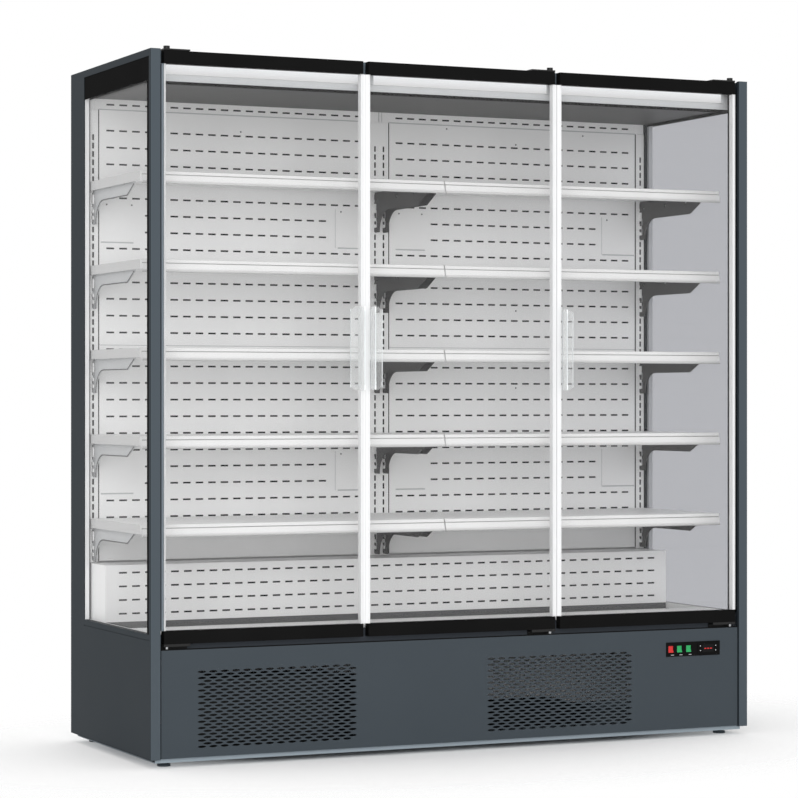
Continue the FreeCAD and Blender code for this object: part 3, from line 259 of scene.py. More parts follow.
def tray_white():
    """White trays whose left outer flange stands in the shade of the end frame."""
    finish = Finish("tray white")
    where, across, _, _ = finish.position()
    clouds = finish.noise(where, 3.0, 4.0)
    shaded = across < (INSIDE[0] + 0.6 - HALF) / 1000
    lit = finish.blend(clouds, grey(0.90), grey(0.86))
    return finish.done(
        finish.surface(
            Base_Color=finish.blend(shaded, lit, grey(0.56)),
            Roughness=0.42 + (clouds - 0.5) * 0.12,
            Specular_IOR_Level=0.3,
        )
    )


def rail_white():
    """White price rail with painted shade: grey in the groove under its lip, and a foot that darkens
    as it turns in.
    """
    finish = Finish("rail white")
    where, _, _, height = finish.position()
    pitch, lip = SHELF_PITCH / 1000, 0.0015
    below = (height - (SHELF_TOPS[-1] / 1000 + lip)) % pitch - (pitch - lip)
    # Painted shade: darker in the groove under the lip and along the foot where it turns in.
    groove = abs(below + 0.0105) < 0.0013
    foot = ((-0.026 - below) / 0.011).held()
    flat = finish.blend(finish.noise(where, 12.0), grey(0.76), grey(0.70))
    face = finish.blend(foot, flat, grey(0.36))
    return finish.done(
        finish.surface(
            Base_Color=finish.blend(groove, face, grey(0.34)),
            Roughness=0.38 + foot * 0.1,
            Normal=finish.bump(finish.noise(where, 1400.0, 1.0), 0.03, 0.0004),
        )
    )


def glance(finish, strength):
    """How much a clear pane mirrors: little face on, much at a grazing angle."""
    facing = finish.node("ShaderNodeLayerWeight", {}, Blend=0.5)[1]
    return (facing**5.0 * 0.96 + 0.04) * strength


def clear_pane(name, tint):
    """Flat glass that doesn't bend the view, with its reflection laid over what shows through."""
    finish = Finish(name)
    through = finish.node("ShaderNodeBsdfTransparent", {}, tint)[0]
    mirrored = finish.surface(Base_Color=grey(0.9), Metallic=1.0, Roughness=0.03)
    return finish, finish.mix(glance(finish, 0.3), through, mirrored)


def black_print(finish, where):
    """Black ink of a pane's printed band or border."""
    ink = finish.blend(finish.noise(where, 6.0), grey(0.006), grey(0.009))
    return finish.surface(Base_Color=ink, Roughness=0.4, IOR=1.02)


def door_glass():
    """Door pane with a black printed band along its top and its bottom."""
    finish, pane = clear_pane("door glass", grey(0.99))
    where, _, _, height = finish.position()
    top_band = height > (DOOR_HIGH - PRINTED_BAND) / 1000
    bottom_band = height < (DOOR_LOW + PRINTED_BAND) / 1000
    return finish.done(finish.mix(top_band.larger(bottom_band), pane, black_print(finish, where)))


def end_glass(name, tint, spacer_depth):
    """Sealed end unit with a black spacer at its front edge and a printed border at the top."""
    finish, pane = clear_pane(name, tint)
    where, _, depth, height = finish.position()
    border_foot = 1.9135
    border = (height > border_foot).larger(depth < (spacer_depth - FRONT) / 1000)
    return finish.done(finish.mix(border, pane, black_print(finish, where)))


def acrylic():
    """Clear bent handle, a little milky at its edges."""
    finish = Finish("clear acrylic")
    where, _, _, _ = finish.position()
    haze = finish.noise(where, 6.0, 1.0)
    through = finish.node("ShaderNodeBsdfTransparent", {}, rgb(0.955, 0.965, 0.965))[0]
    body = finish.surface(Base_Color=grey(0.9), Roughness=0.08 + haze * 0.06)
    milky = (glance(finish, 2.5) + haze * 0.06 + 0.03).smaller(0.9)
    return finish.done(finish.mix(milky, through, body))


def door_profile(name, painted_highlight_until):
    """White moulding of a door's edges; a side left of the given place is a grey edge painted lighter
    and bluish, a painted highlight.
    """
    finish = Finish(name)
    where, across, _, _ = finish.position()
    clouds = finish.noise(where, 12.0)
    white = finish.blend(clouds, rgb(0.76, 0.765, 0.77), rgb(0.73, 0.735, 0.74))
    # Painted highlight: the edge left of the given place is coloured in its lit bluish tone.
    edge = across < (painted_highlight_until - HALF) / 1000
    return finish.done(
        finish.surface(
            Base_Color=finish.blend(edge, white, rgb(0.16, 0.195, 0.225)),
            Roughness=0.38 + (clouds - 0.5) * 0.15,
            Normal=finish.bump(finish.noise(where, 1400.0, 1.0), 0.03, 0.0004),
        )
    )


def moulded(name, colour, worn, rough, grain, ior=1.46):
    """Moulded plastic with a faint spark-eroded grain."""
    finish = Finish(name)
    where, _, _, _ = finish.position()
    clouds = finish.noise(where, 12.0)
    grain_height = finish.noise(where, 1400.0, 1.0)
    return finish.done(
        finish.surface(
            Base_Color=finish.blend(clouds, colour, worn),
            Roughness=rough + (clouds - 0.5) * 0.15,
            Normal=finish.bump(grain_height, grain, 0.0004),
            IOR=ior,
        )
    )


def zinc():
    """Galvanised sheet with its spangle."""
    finish = Finish("galvanised sheet")
    where, _, _, _ = finish.position()
    spangle = finish.node("ShaderNodeTexVoronoi", {}, where, Scale=90.0)[0]
    return finish.done(
        finish.surface(
            Base_Color=finish.blend(spangle * 1.4, rgb(0.36, 0.37, 0.38), rgb(0.52, 0.53, 0.54)),
            Roughness=0.32 + spangle * 0.2,
            Metallic=0.85,
        )
    )


def aluminium_fin(name, dull, bright):
    """A block of fins, shown as fine ridges 2.5 mm apart across the coil."""
    finish = Finish(name)
    where, across, _, _ = finish.position()
    fins_per_metre = 400.0
    comb = (across * fins_per_metre) % 1.0
    streak = finish.noise(where, 40.0)
    return finish.done(
        finish.surface(
            Base_Color=finish.blend(streak, grey(dull), grey(bright)),
            Roughness=0.3 + streak * 0.2,
            Metallic=0.9,
            Normal=finish.bump(abs(comb - 0.5), 0.5, 0.001),
        )
    )


def lamp_opal():
    """Opal lamp cover that glows, most along its top."""
    finish = Finish("lamp opal")
    where, _, _, height = finish.position()
    lowest, tall = 1.937, 0.031
    rise = ((height - lowest) / tall).held()
    glow = finish.blend(rise + finish.noise(where, 4.0) * 0.1, grey(0.42), rgb(0.95, 0.97, 1.0))
    return finish.done(
        finish.surface(Base_Color=grey(0.3), Roughness=0.4, Emission_Color=glow, Emission_Strength=0.8)
    )


WHITE = powder_coat("white steel", grey(0.90), grey(0.86), 0.42, 0.05, 0.3)
GRAPHITE = powder_coat(
    "graphite paint", rgb(0.042, 0.052, 0.061), rgb(0.048, 0.059, 0.069), 0.5, 0.10, 0.1
)
BLUE_GREY = powder_coat(
    "blue grey paint", rgb(0.125, 0.155, 0.18), rgb(0.145, 0.175, 0.20), 0.5, 0.06, 0.2
)
PAN_GREY = powder_coat("pan paint", rgb(0.24, 0.285, 0.32), rgb(0.265, 0.31, 0.345), 0.5, 0.06, 0.2)
DARK_GREY = powder_coat(
    "dark grey paint", rgb(0.105, 0.106, 0.108), rgb(0.12, 0.121, 0.123), 0.45, 0.06, 0.25
)
BRACKET_GREY = powder_coat("bracket paint", grey(0.055), grey(0.072), 0.45, 0.06, 0.25)
LIGHT_GREY = powder_coat(
    "light grey paint", rgb(0.52, 0.53, 0.54), rgb(0.48, 0.49, 0.50), 0.42, 0.05, 0.3
)
RAIL_WHITE = rail_white()
TRAY_WHITE = tray_white()
END_PAINT = end_paint()
FRAME_PAINT = frame_paint()
CEILING = brushed_ceiling()
BLACK_PAINT = powder_coat("black paint", grey(0.008), grey(0.012), 0.4, 0.08, 0.25)
GLOSS_BLACK = moulded("display window", grey(0.004), grey(0.006), 0.12, 0.0, 1.2)
BLACK = moulded("black plastic", grey(0.004), grey(0.007), 0.48, 0.05, 1.1)
RAIL_BLACK = moulded("black door rail", grey(0.005), grey(0.008), 0.4, 0.05, 1.06)
WHITE_PLASTIC = moulded(
    "white plastic", rgb(0.76, 0.765, 0.77), rgb(0.73, 0.735, 0.74), 0.38, 0.03
)
RED = moulded("red key", rgb(0.55, 0.012, 0.010), rgb(0.50, 0.010, 0.008), 0.25, 0.02)
GREEN = moulded("green key", rgb(0.010, 0.33, 0.09), rgb(0.008, 0.29, 0.08), 0.25, 0.02)
ZINC = zinc()
FIN = aluminium_fin("aluminium fin", 0.42, 0.6)
# Painted shade: the condenser fins are coloured near black so the vent holes read dark.
DARK_FIN = aluminium_fin("dark fin as painted shade", 0.015, 0.03)
OPAL = lamp_opal()
DOOR_GLASS = door_glass()
LEFT_GLASS = end_glass("left end glass", grey(0.958), 33.0)
RIGHT_GLASS = end_glass("right end glass", rgb(0.675, 0.68, 0.70), 62.0)
ACRYLIC = acrylic()
# Painted highlight: opaque milky white for the handles' bright edges.
MILKY_EDGE_HIGHLIGHT = moulded("milky acrylic edge", rgb(0.84, 0.86, 0.87), rgb(0.80, 0.82, 0.83), 0.2, 0.0)

NODE_FINISH = {
    "floor_pan": PAN_GREY,
    "levelling_feet": GRAPHITE,
    "side_panel_left": END_PAINT,
    "side_panel_right": END_PAINT,
    "side_glass_left": LEFT_GLASS,
    "side_glass_right": RIGHT_GLASS,
    "back_wall": WHITE,
    "roof_panel": GRAPHITE,
    "canopy_fascia": BLUE_GREY,
    "canopy_lip": LIGHT_GREY,
    "canopy_lamps": OPAL,
    "air_honeycomb": BLACK,
    "ceiling_panel": CEILING,
    "back_panel_left": WHITE,
    "back_panel_right": WHITE,
    "back_header": WHITE,
    "uprights": WHITE,
    "price_rails": WHITE_PLASTIC,
    "brackets_left_hand": BRACKET_GREY,
    "brackets_right_hand": BRACKET_GREY,
    "tank": DARK_GREY,
    "deck_plates": DARK_GREY,
    "return_air_grille": WHITE_PLASTIC,
    "evaporator_cover": WHITE,
    "evaporator_coil": FIN,
    "evaporator_fan_plate": ZINC,
    "evaporator_fan_1": BLACK,
    "evaporator_fan_2": BLACK,
    # Painted shade: condenser coil and shroud in black, so the vent holes in the front panel read
    # dark.
    "condenser_coil": DARK_FIN,
    "condenser_shroud": BLACK_PAINT,
    "condenser_fan": BLACK,
    "compressor": BLACK_PAINT,
    "condensate_tray": BLACK,
    "front_panel": GRAPHITE,
    "door_frame": FRAME_PAINT,
    "hinge_brackets": BLACK_PAINT,
    "control_panel": BLACK,
    "rocker_red": RED,
    "rocker_green_left": GREEN,
    "rocker_green_right": GREEN,
    "controller": BLACK,
    "controller_key_left": BLACK,
    "controller_key_right": BLACK,
}
for level in range(1, 6):
    NODE_FINISH[f"shelf_level_{level}"] = TRAY_WHITE
for door, start in enumerate(DOOR_STARTS, 1):
    NODE_FINISH[f"door_{door}_glass"] = DOOR_GLASS
    # Door 1's left edge gets the painted highlight.
    painted_highlight_until = start + 0.6 if door == 1 else 0.0
    NODE_FINISH[f"door_{door}_edges"] = door_profile(f"door {door} edge", painted_highlight_until)
    NODE_FINISH[f"door_{door}_rails"] = RAIL_BLACK
    NODE_FINISH[f"door_{door}_handle"] = ACRYLIC

for name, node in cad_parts.items():
    node.data.materials.clear()
    node.data.materials.append(NODE_FINISH[name])


# ---------------------------------------------------------------- sheet work


class Shape:
    """Faces gathered in millimetres before they become one piece."""

    def __init__(self):
        self.mesh = bmesh.new()

    def face(self, corners):
        self.mesh.faces.new([self.mesh.verts.new(point(*corner)) for corner in corners])

    def block(self, u, v, w):
        """A closed box between three pairs of limits."""
        corners = [(a, b, c) for a in u for b in v for c in w]
        ends = ((0, 1, 3, 2), (4, 6, 7, 5))
        sides = ((0, 4, 5, 1), (2, 3, 7, 6), (0, 2, 6, 4), (1, 5, 7, 3))
        for order in ends + sides:
            self.face([corners[k] for k in order])

    def surround(self, u, holes_u, v, w, holes_w):
        """Four closed strips, from a sheet's outline in to its field of holes."""
        self.block(u, v, (w[0], holes_w[0]))
        self.block(u, v, (holes_w[1], w[1]))
        self.block((u[0], holes_u[0]), v, holes_w)
        self.block((holes_u[1], u[1]), v, holes_w)

    def bar(self, profile, start, end, along="u"):
        """A closed profile carried from start to end along u, v or w."""
        spread = {
            "u": lambda a, b, c: (c, a, b),
            "v": lambda a, b, c: (a, c, b),
            "w": lambda a, b, c: (a, b, c),
        }[along]
        near = [spread(a, b, start) for a, b in profile]
        far = [spread(a, b, end) for a, b in profile]
        self.face(near[::-1])
        self.face(far)
        for k in range(len(profile)):
            after = (k + 1) % len(profile)
            self.face([near[k], near[after], far[after], far[k]])

    def disc(self, u, w, front, back, radius):
        """A short round bar along v."""
        self.bar(ring(u, w, radius, 10), front, back, "v")

    def add(self, mesh):
        self.mesh.from_mesh(mesh)

    def piece(self, name, finish, body, *nodes, slot=None):
        """Turns the faces into one finished object that rides on a body."""
        bmesh.ops.remove_doubles(self.mesh, verts=self.mesh.verts, dist=1e-6)
        bmesh.ops.recalc_face_normals(self.mesh, faces=self.mesh.faces)
        data = bpy.data.meshes.new(name)
        self.mesh.to_mesh(data)
        self.mesh.free()
        data.materials.append(finish)
        made = bpy.data.objects.new(name, data)
        bpy.context.scene.collection.objects.link(made)
        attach(made, body)
        if nodes:
            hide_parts(*nodes)
        return made


class Nodes:
    """A Geometry Nodes tree under construction, with named inputs for its sizes."""

    def __init__(self, name, inputs):
        self.tree = bpy.data.node_groups.new(name, "GeometryNodeTree")
        self.tree.interface.new_socket("Geometry", in_out="INPUT", socket_type="NodeSocketGeometry")
        for label, kind in inputs.items():
            self.tree.interface.new_socket(label, in_out="INPUT", socket_type=kind)
        self.tree.interface.new_socket("Geometry", in_out="OUTPUT", socket_type="NodeSocketGeometry")
        self.start = self.tree.nodes.new("NodeGroupInput")
        self.end = self.tree.nodes.new("NodeGroupOutput")

    def given(self, label):
        return self.start.outputs[label]

    def node(self, kind, settings, **sockets):
        made = self.tree.nodes.new(kind)
        for key, setting in settings.items():
            setattr(made, key, setting)
        for key, value in sockets.items():
            index = key.replace("_", " ")
            numbered = index[0] == "i" and index[1:].isdigit()
            socket = made.inputs[int(index[1:]) if numbered else index]
            if isinstance(value, bpy.types.NodeSocket):
                self.tree.links.new(value, socket)
            else:
                socket.default_value = value
        return made.outputs

    def math(self, operation, first, second):
        return self.node("ShaderNodeMath", {"operation": operation}, i0=first, i1=second)[0]


def field_tree():
    """Repeats the given tile in columns across and in rows up or back, every other row shifted."""
    tree = Nodes(
        "sheet field",
        {
            "Columns": "NodeSocketInt",
            "Rows": "NodeSocketInt",
            "Pitch Across": "NodeSocketFloat",
            "Pitch Up": "NodeSocketFloat",
            "Pitch Back": "NodeSocketFloat",
            "Row Shift": "NodeSocketFloat",
            "Weld": "NodeSocketFloat",
            "Finish": "NodeSocketMaterial",
        },
    )
    rows = tree.given("Rows")
    across = tree.given("Pitch Across")
    count = tree.math("MULTIPLY", tree.given("Columns"), rows)
    index = tree.node("GeometryNodeInputIndex", {})[0]
    column = tree.math("FLOOR", tree.math("DIVIDE", index, rows), 0.0)
    row = tree.math("SUBTRACT", index, tree.math("MULTIPLY", column, rows))
    odd = tree.math("MODULO", row, 2.0)
    place = tree.node(
        "ShaderNodeCombineXYZ",
        {},
        X=tree.math(
            "ADD",
            tree.math("MULTIPLY", column, across),
            tree.math("MULTIPLY", odd, tree.given("Row Shift")),
        ),
        Y=tree.math("MULTIPLY", row, tree.given("Pitch Back")),
        Z=tree.math("MULTIPLY", row, tree.given("Pitch Up")),
    )[0]
    line = tree.node("GeometryNodeMeshLine", {}, Count=count)[0]
    spots = tree.node("GeometryNodeSetPosition", {}, Geometry=line, Position=place)[0]
    tile = tree.given("Geometry")
    tiles = tree.node("GeometryNodeInstanceOnPoints", {}, Points=spots, Instance=tile)[0]
    real = tree.node("GeometryNodeRealizeInstances", {}, Geometry=tiles)[0]
    weld = tree.given("Weld")
    welded = tree.node("GeometryNodeMergeByDistance", {}, Geometry=real, Distance=weld)[0]
    finish = tree.given("Finish")
    done = tree.node("GeometryNodeSetMaterial", {}, Geometry=welded, Material=finish)[0]
    tree.tree.links.new(done, tree.end.inputs[0])
    return tree.tree


FIELD = field_tree()
WELD = 0.02


def field(tile, finish, columns, rows, across, up, shift=0.0, back=0.0):
    """The tile repeated by the field tree, as a plain mesh in metres."""
    data = bpy.data.meshes.new("tile")
    bmesh.ops.remove_doubles(tile.mesh, verts=tile.mesh.verts, dist=1e-6)
    tile.mesh.to_mesh(data)
    tile.mesh.free()
    carrier = bpy.data.objects.new("tile", data)
    bpy.context.scene.collection.objects.link(carrier)
    modifier = carrier.modifiers.new("field", "NODES")
    modifier.node_group = FIELD
    sizes = {
        "Columns": columns,
        "Rows": rows,
        "Pitch Across": across / 1000,
        "Pitch Up": up / 1000,
        "Pitch Back": back / 1000,
        "Row Shift": shift / 1000,
        "Weld": WELD / 1000,
        "Finish": finish,
    }
    for item in FIELD.interface.items_tree:
        if item.in_out == "INPUT" and item.name in sizes:
            modifier[item.identifier] = sizes[item.name]
    bpy.context.view_layer.update()
    shown = carrier.evaluated_get(bpy.context.evaluated_depsgraph_get())
    mesh = bpy.data.meshes.new_from_object(shown)
    bpy.data.objects.remove(carrier)
    bpy.data.meshes.remove(data)
    return mesh


def holed_tile(u, v, w, hole):
    """One cell of a sheet, from u[0] to u[1] and w[0] to w[1], with a hole through it.

    The hole is a ring of (u, w) corners that starts at its lower left and runs to the right.
    """
    tile = Shape()
    rim = [(u[0], w[0]), (u[1], w[0]), (u[1], w[1]), (u[0], w[1])]
    count = len(hole)
    for depth, turned in ((v[0], False), (v[1], True)):
        for side in range(4):
            first = round(side * count / 4)
            last = round((side + 1) * count / 4)
            inner = [hole[k % count] for k in range(first, last + 1)]
            outline = [rim[side], rim[(side + 1) % 4]] + inner[::-1]
            corners = [(a, depth, b) for a, b in outline]
            tile.face(corners[::-1] if turned else corners)
    for k in range(count):
        a, b = hole[k], hole[(k + 1) % count]
        tile.face([(a[0], v[0], a[1]), (a[0], v[1], a[1]), (b[0], v[1], b[1]), (b[0], v[0], b[1])])
    return tile


def oblong(a, b, low, high):
    return [(a, low), (b, low), (b, high), (a, high)]


def slot_hole(u, w, length, height):
    return oblong(u - length / 2, u + length / 2, w - height / 2, w + height / 2)


def ring(a, b, radius, count=12):
    turns = [k * math.tau / count for k in range(count)]
    return [(a + radius * math.cos(turn), b + radius * math.sin(turn)) for turn in turns]


def duct_sheet(name, start, end, node):
    """Perforated air duct sheet: rows of short slots, two pairs of rows cut short for the hooks."""
    low, high = 545.0, 1890.0
    fold_depth = 645.0
    columns, rows = 21, 24
    short_rows, cut = (5, 6, 20, 21), 3
    pitch_up, top_row = 50.15, 1827.6
    sheet = Shape()
    left = (start + end - columns * SLOT_PITCH) / 2
    right = left + columns * SLOT_PITCH
    top = top_row + pitch_up / 2
    for row in range(rows):
        height = top_row - row * pitch_up
        strip = (height - pitch_up / 2, height + pitch_up / 2)
        skip = cut if row in short_rows else 0
        first = left + skip * SLOT_PITCH
        slot = slot_hole(first + SLOT_PITCH / 2, height, SLOT_LENGTH, SLOT_HEIGHT)
        tile = holed_tile((first, first + SLOT_PITCH), SHEET, strip, slot)
        sheet.add(field(tile, WHITE, columns - 2 * skip, 1, SLOT_PITCH, pitch_up))
        if skip:
            for a, b in ((left, first), (right - skip * SLOT_PITCH, right)):
                sheet.block((a, b), SHEET, strip)
    sheet.surround((start, end), (left, right), SHEET, (low, high), (top - rows * pitch_up, top))
    for a, b in ((start, start + 2), (end - 2, end)):
        sheet.block((a, b), (SHEET[1], fold_depth), (low, high))
    return sheet.piece(name, WHITE, "cabinet", node, slot="white_paint")


def header_strip():
    """Header over the duct sheets: two halves, each with one row of slots."""
    strip = Shape()
    outline, slots = (1890.0, 1968.0), (1897.0, 1913.0)
    columns = 21
    for start, end in BAYS:
        left = (start + end - columns * SLOT_PITCH) / 2
        slot = slot_hole(left + SLOT_PITCH / 2, sum(slots) / 2, SLOT_LENGTH, SLOT_HEIGHT)
        tile = holed_tile((left, left + SLOT_PITCH), SHEET, slots, slot)
        strip.add(field(tile, WHITE, columns, 1, SLOT_PITCH, slots[1] - slots[0]))
        strip.surround((start, end), (left, left + columns * SLOT_PITCH), SHEET, outline, slots)
    return strip.piece("header_strip", WHITE, "cabinet", "back_header", slot="white_paint")


def slotted_posts():
    """Folded posts with their full ladders of slots at the fine pitch."""
    posts = Shape()
    low, high = 541.0, 1889.0
    fold_depth = 645.0
    pitch, lowest, highest = 25.0, 556.0, 1806.0
    ladder = 5.0
    rows = int((highest - lowest) / pitch) + 1
    bottom, top = lowest - pitch / 2, lowest + (rows - 0.5) * pitch
    for start, end, columns in (
        (INSIDE[0], 48.5, BRACKETS[:1]),
        (937.0, 998.0, BRACKETS[1:3]),
        (1886.5, INSIDE[1], BRACKETS[3:]),
    ):
        for u in columns:
            slot = slot_hole(u, lowest, 6.0, 17.0)
            tile = holed_tile((u - ladder, u + ladder), POST_FACE, (bottom, bottom + pitch), slot)
            posts.add(field(tile, WHITE, 1, rows, 2 * ladder, pitch))
        edges = [start] + [edge for u in columns for edge in (u - ladder, u + ladder)] + [end]
        for a, b in zip(edges[::2], edges[1::2]):
            posts.block((a, b), POST_FACE, (bottom, top))
        posts.block((start, end), POST_FACE, (low, bottom))
        posts.block((start, end), POST_FACE, (top, high))
        for a, b in ((start, start + 2), (end - 2, end)):
            posts.block((a, b), (POST_FACE[1], fold_depth), (low, high))
    return posts.piece("slotted_posts", WHITE, "cabinet", "uprights", slot="white_paint")


def coil_cover():
    """Evaporator cover with four rows of slots in its face, over a dark foot."""
    start, end = 22.0, 1913.0
    low, high = 373.5, 540.0
    face, inner, back = 455.0, 457.0, 600.0
    foot = Shape()
    foot.block((start, end), (face + 0.5, inner), (356.0, low))
    foot.piece("cover_foot", DARK_GREY, "cabinet", slot="grey_paint")
    cover = Shape()
    columns, rows, pitch_up = 45, 4, 40.0
    left = (start + end - columns * SLOT_PITCH) / 2
    bottom = 377.5
    slot = slot_hole(left + SLOT_PITCH / 2, bottom + pitch_up / 2, SLOT_LENGTH, SLOT_HEIGHT)
    tile = holed_tile((left, left + SLOT_PITCH), (face, inner), (bottom, bottom + pitch_up), slot)
    cover.add(field(tile, WHITE, columns, rows, SLOT_PITCH, pitch_up))
    holes = (left, left + columns * SLOT_PITCH)
    slots = (bottom, bottom + rows * pitch_up)
    cover.surround((start, end), holes, (face, inner), (low, high), slots)
    cover.block((start, end), (inner, back), (high - 2, high))
    for a, b in ((start, start + 2), (end - 2, end)):
        cover.block((a, b), (inner, back), (low, high - 2))
    return cover.piece("coil_cover", WHITE, "cabinet", "evaporator_cover", slot="white_paint")


def eye(u, w, length, height):
    """Ring of an eye-shaped hole, from its lower left round to the right."""
    below = ((-0.5, 0.0), (-0.3, -0.36), (0.0, -0.5), (0.3, -0.36))
    above = ((0.5, 0.0), (0.3, 0.36), (0.0, 0.5), (-0.3, 0.36))
    return [(u + a * length, w + b * height) for a, b in below + above]


def vented_front():
    """Folded front panel with two close fields of staggered lozenge holes, and its gasket."""
    start, end = 33.0, 1902.0
    skin = (5.0, 8.0)
    low, high = 27.0, 328.0
    across, up = 34.1, 8.73
    length, height = 27.0, 7.0
    columns, rows = 14, 25
    bottom = 51.0
    top = bottom + rows * up
    window, window_w = (1654.0, 1834.0), (251.0, 286.0)
    panel = Shape()
    edges = [start]
    for first_hole in (140.0, 1045.0):
        left = first_hole - (across - length) / 2
        right = left + (columns + 0.5) * across
        hole = eye(first_hole + length / 2, bottom + up / 2, length, height)
        tile = holed_tile((left, left + across), skin, (bottom, bottom + up), hole)
        panel.add(field(tile, GRAPHITE, columns, rows, across, up, across / 2))
        for row in range(rows):
            side = (left, left + across / 2) if row % 2 else (right - across / 2, right)
            panel.block(side, skin, (bottom + row * up, bottom + (row + 1) * up))
        edges += [left, right]
    edges += [window[0], window[1], end]
    for a, b in zip(edges[::2], edges[1::2]):
        panel.block((a, b), skin, (bottom, top))
    panel.block((start, end), skin, (low, bottom))
    panel.block(window, skin, (bottom, window_w[0]))
    panel.block(window, skin, (window_w[1], high))
    panel.block((start, window[0]), skin, (top, high))
    panel.block((window[1], end), skin, (top, high))
    panel.block((start, end), (skin[1], 15.0), (low, low + 3))
    panel.block((start, end), (skin[1], 23.0), (high - 3, high))
    gasket = Shape()
    gasket.block((start, end), (5.6, 9.0), (high - 0.6, high + 3.0))
    gasket.piece("panel_gasket", BLACK, "cabinet", slot="black_plastic")
    return panel.piece("vented_front", GRAPHITE, "cabinet", "front_panel", slot="graphite_paint")


def duct_painted_shade():
    """Black sheets behind the slots and between the sheets, standing in for the shade inside the air
    duct: painted shade.
    """
    # Painted shade: black sheets put where the duct is only dark for want of light.
    lining = Shape()
    behind = (608.0, 609.0)
    for start, end in DUCT_SHEETS:
        lining.block((start + 3.0, end - 3.0), behind, (546.0, 1888.0))
    lining.block(INSIDE, behind, (1891.0, 1967.0))
    for a, b in ((22.5, 46.0), (939.5, 995.5), (1889.0, 1912.5)):
        lining.block((a, b), (605.0, 606.0), (545.0, 1888.0))
    for a, b in ((48.0, 52.6), (932.6, 937.2), (997.8, 1002.4), (1883.0, 1886.7)):
        lining.block((a, b), (602.5, 604.0), (545.0, 1889.5))
    lining.block((26.0, 1909.0), (459.0, 460.0), (376.0, 536.0))
    lining.piece("duct_painted_shade", BLACK, "cabinet", slot="black_plastic")


def sheet_joints():
    """Fine joints on the sheets' faces: under the header, at mid height and round the hook fields."""
    joints = Shape()
    face = SHEET[0]
    for start, end in DUCT_SHEETS:
        joints.block((start, end), (face - 0.7, face), (1888.4, 1891.6))
        joints.block((start, end), (face - 0.4, face), (1187.1, 1188.9))
    for base in (744.7, 1494.5):
        for a, b in ((58.0, 160.0), (827.0, 932.0), (1025.0, 1126.0), (1762.0, 1880.0)):
            joints.block((a, b), (face - 0.6, face), (base - 2.0, base + 2.0))
        for u in (819.0, 1760.0):
            joints.block((u - 0.7, u + 0.7), (face - 0.4, face), (base, base + 121.0))
    joints.block((976.0, 978.0), (face - 0.5, face), (1890.0, 1968.0))
    joints.piece("sheet_joints", LIGHT_GREY, "cabinet", slot="grey_paint")


def duct_screws():
    """Screw heads on the sheets: one row of six and a few alone."""
    row = [(u, 1607.0) for u in (76.0, 155.0, 838.0, 1036.0, 1115.0, 1779.0)]
    upper = [(505.0, 1841.0), (1202.0, 1879.0), (1447.0, 1838.0), (1690.0, 1876.0)]
    lower = [(1447.0, 1308.0), (1447.0, 1062.0), (838.0, 857.0)]
    screws = Shape()
    for u, w in upper + row + lower:
        screws.disc(u, w, SHEET[0] - 1.0, SHEET[0], 2.6)
    screws.piece("duct_screws", DARK_GREY, "cabinet", slot="grey_paint")


def return_grille():
    """Return air grille: white blades from front to back, on three rods in a thin frame."""
    low, high = 356.0, 373.0
    front, back = 42.0, 242.0
    first, last = INSIDE
    blades, pitch, thick = 236, 8.0, 4.2
    grille = Shape()
    blade = Shape()
    blade.block((first + 2.0, first + 2.0 + thick), (front, back), (high - 9.0, high))
    grille.add(field(blade, WHITE, blades, 1, pitch, 0.0))
    for v in (front, 141.0, back - 2.0):
        grille.block((first, last), (v, v + 2.0), (low + 3, low + 9))
    for a, b in ((first, first + 2.0), (last - 2.0, last)):
        grille.block((a, b), (front - 1, back), (low + 2, high))
    return grille.piece(
        "return_grille", WHITE, "cabinet", "return_air_grille", slot="white_profile"
    )


def lower_liners():
    """White strips that close the foot of each end, inside the glass."""
    liners = Shape()
    for a, b in ((18.2, 19.6), (1915.4, 1916.8)):
        liners.block((a, b), (50.0, 600.0), (340.0, 374.0))
    return liners.piece("lower_liners", WHITE, "cabinet", slot="white_paint")


HEEL, THROAT = 568.0, 66.0
ARM, FOOT = -61.0, -127.0


def throat_arc(radius):
    """The curve from a bracket's arm round to its heel, in v and in w under the tray top."""
    turns = [math.radians(90 - 90 * k / 8) for k in range(9)]
    return [(HEEL - THROAT + radius * math.cos(t), FOOT + radius * math.sin(t)) for t in turns]


def bracket_outline():
    """Side outline of a shelf bracket under a tray top at height 0, with its curved throat."""
    back = 600.0
    corners = [(back, -2.0), (205.0, -2.0), (226.0, -32.0), (286.0, ARM)]
    corners += throat_arc(THROAT) + [(HEEL, FOOT), (back, FOOT)]
    for hook in (-102.0, -39.0):
        corners += [
            (back, hook - 4.0),
            (back + 3.5, hook - 4.0),
            (back + 3.5, hook - 8.0),
            (back + 6.5, hook - 8.0),
            (back + 6.5, hook + 4.0),
            (back, hook + 4.0),
        ]
    return corners


def lifted(profile, top):
    return [(v, top + w) for v, w in profile]


def plate_with_holes(outline, holes, thickness):
    """A flat plate in the v-w plane, in millimetres, as a mesh in metres with its middle at u 0."""
    curve = bpy.data.curves.new("plate", "CURVE")
    curve.dimensions = "2D"
    curve.fill_mode = "BOTH"
    curve.extrude = thickness / 2000
    for loop in (outline, *holes):
        spline = curve.splines.new("POLY")
        spline.points.add(len(loop) - 1)
        spline.use_cyclic_u = True
        for spot, (a, b) in zip(spline.points, loop):
            spot.co = (a / 1000, b / 1000, 0.0, 1.0)
    carrier = bpy.data.objects.new("plate", curve)
    bpy.context.scene.collection.objects.link(carrier)
    bpy.context.view_layer.update()
    shown = carrier.evaluated_get(bpy.context.evaluated_depsgraph_get())
    mesh = bpy.data.meshes.new_from_object(shown)
    bpy.data.objects.remove(carrier)
    bpy.data.curves.remove(curve)
    for vertex in mesh.vertices:
        a, b, c = vertex.co
        vertex.co = point(c * 1000, a * 1000, b * 1000)
    return mesh


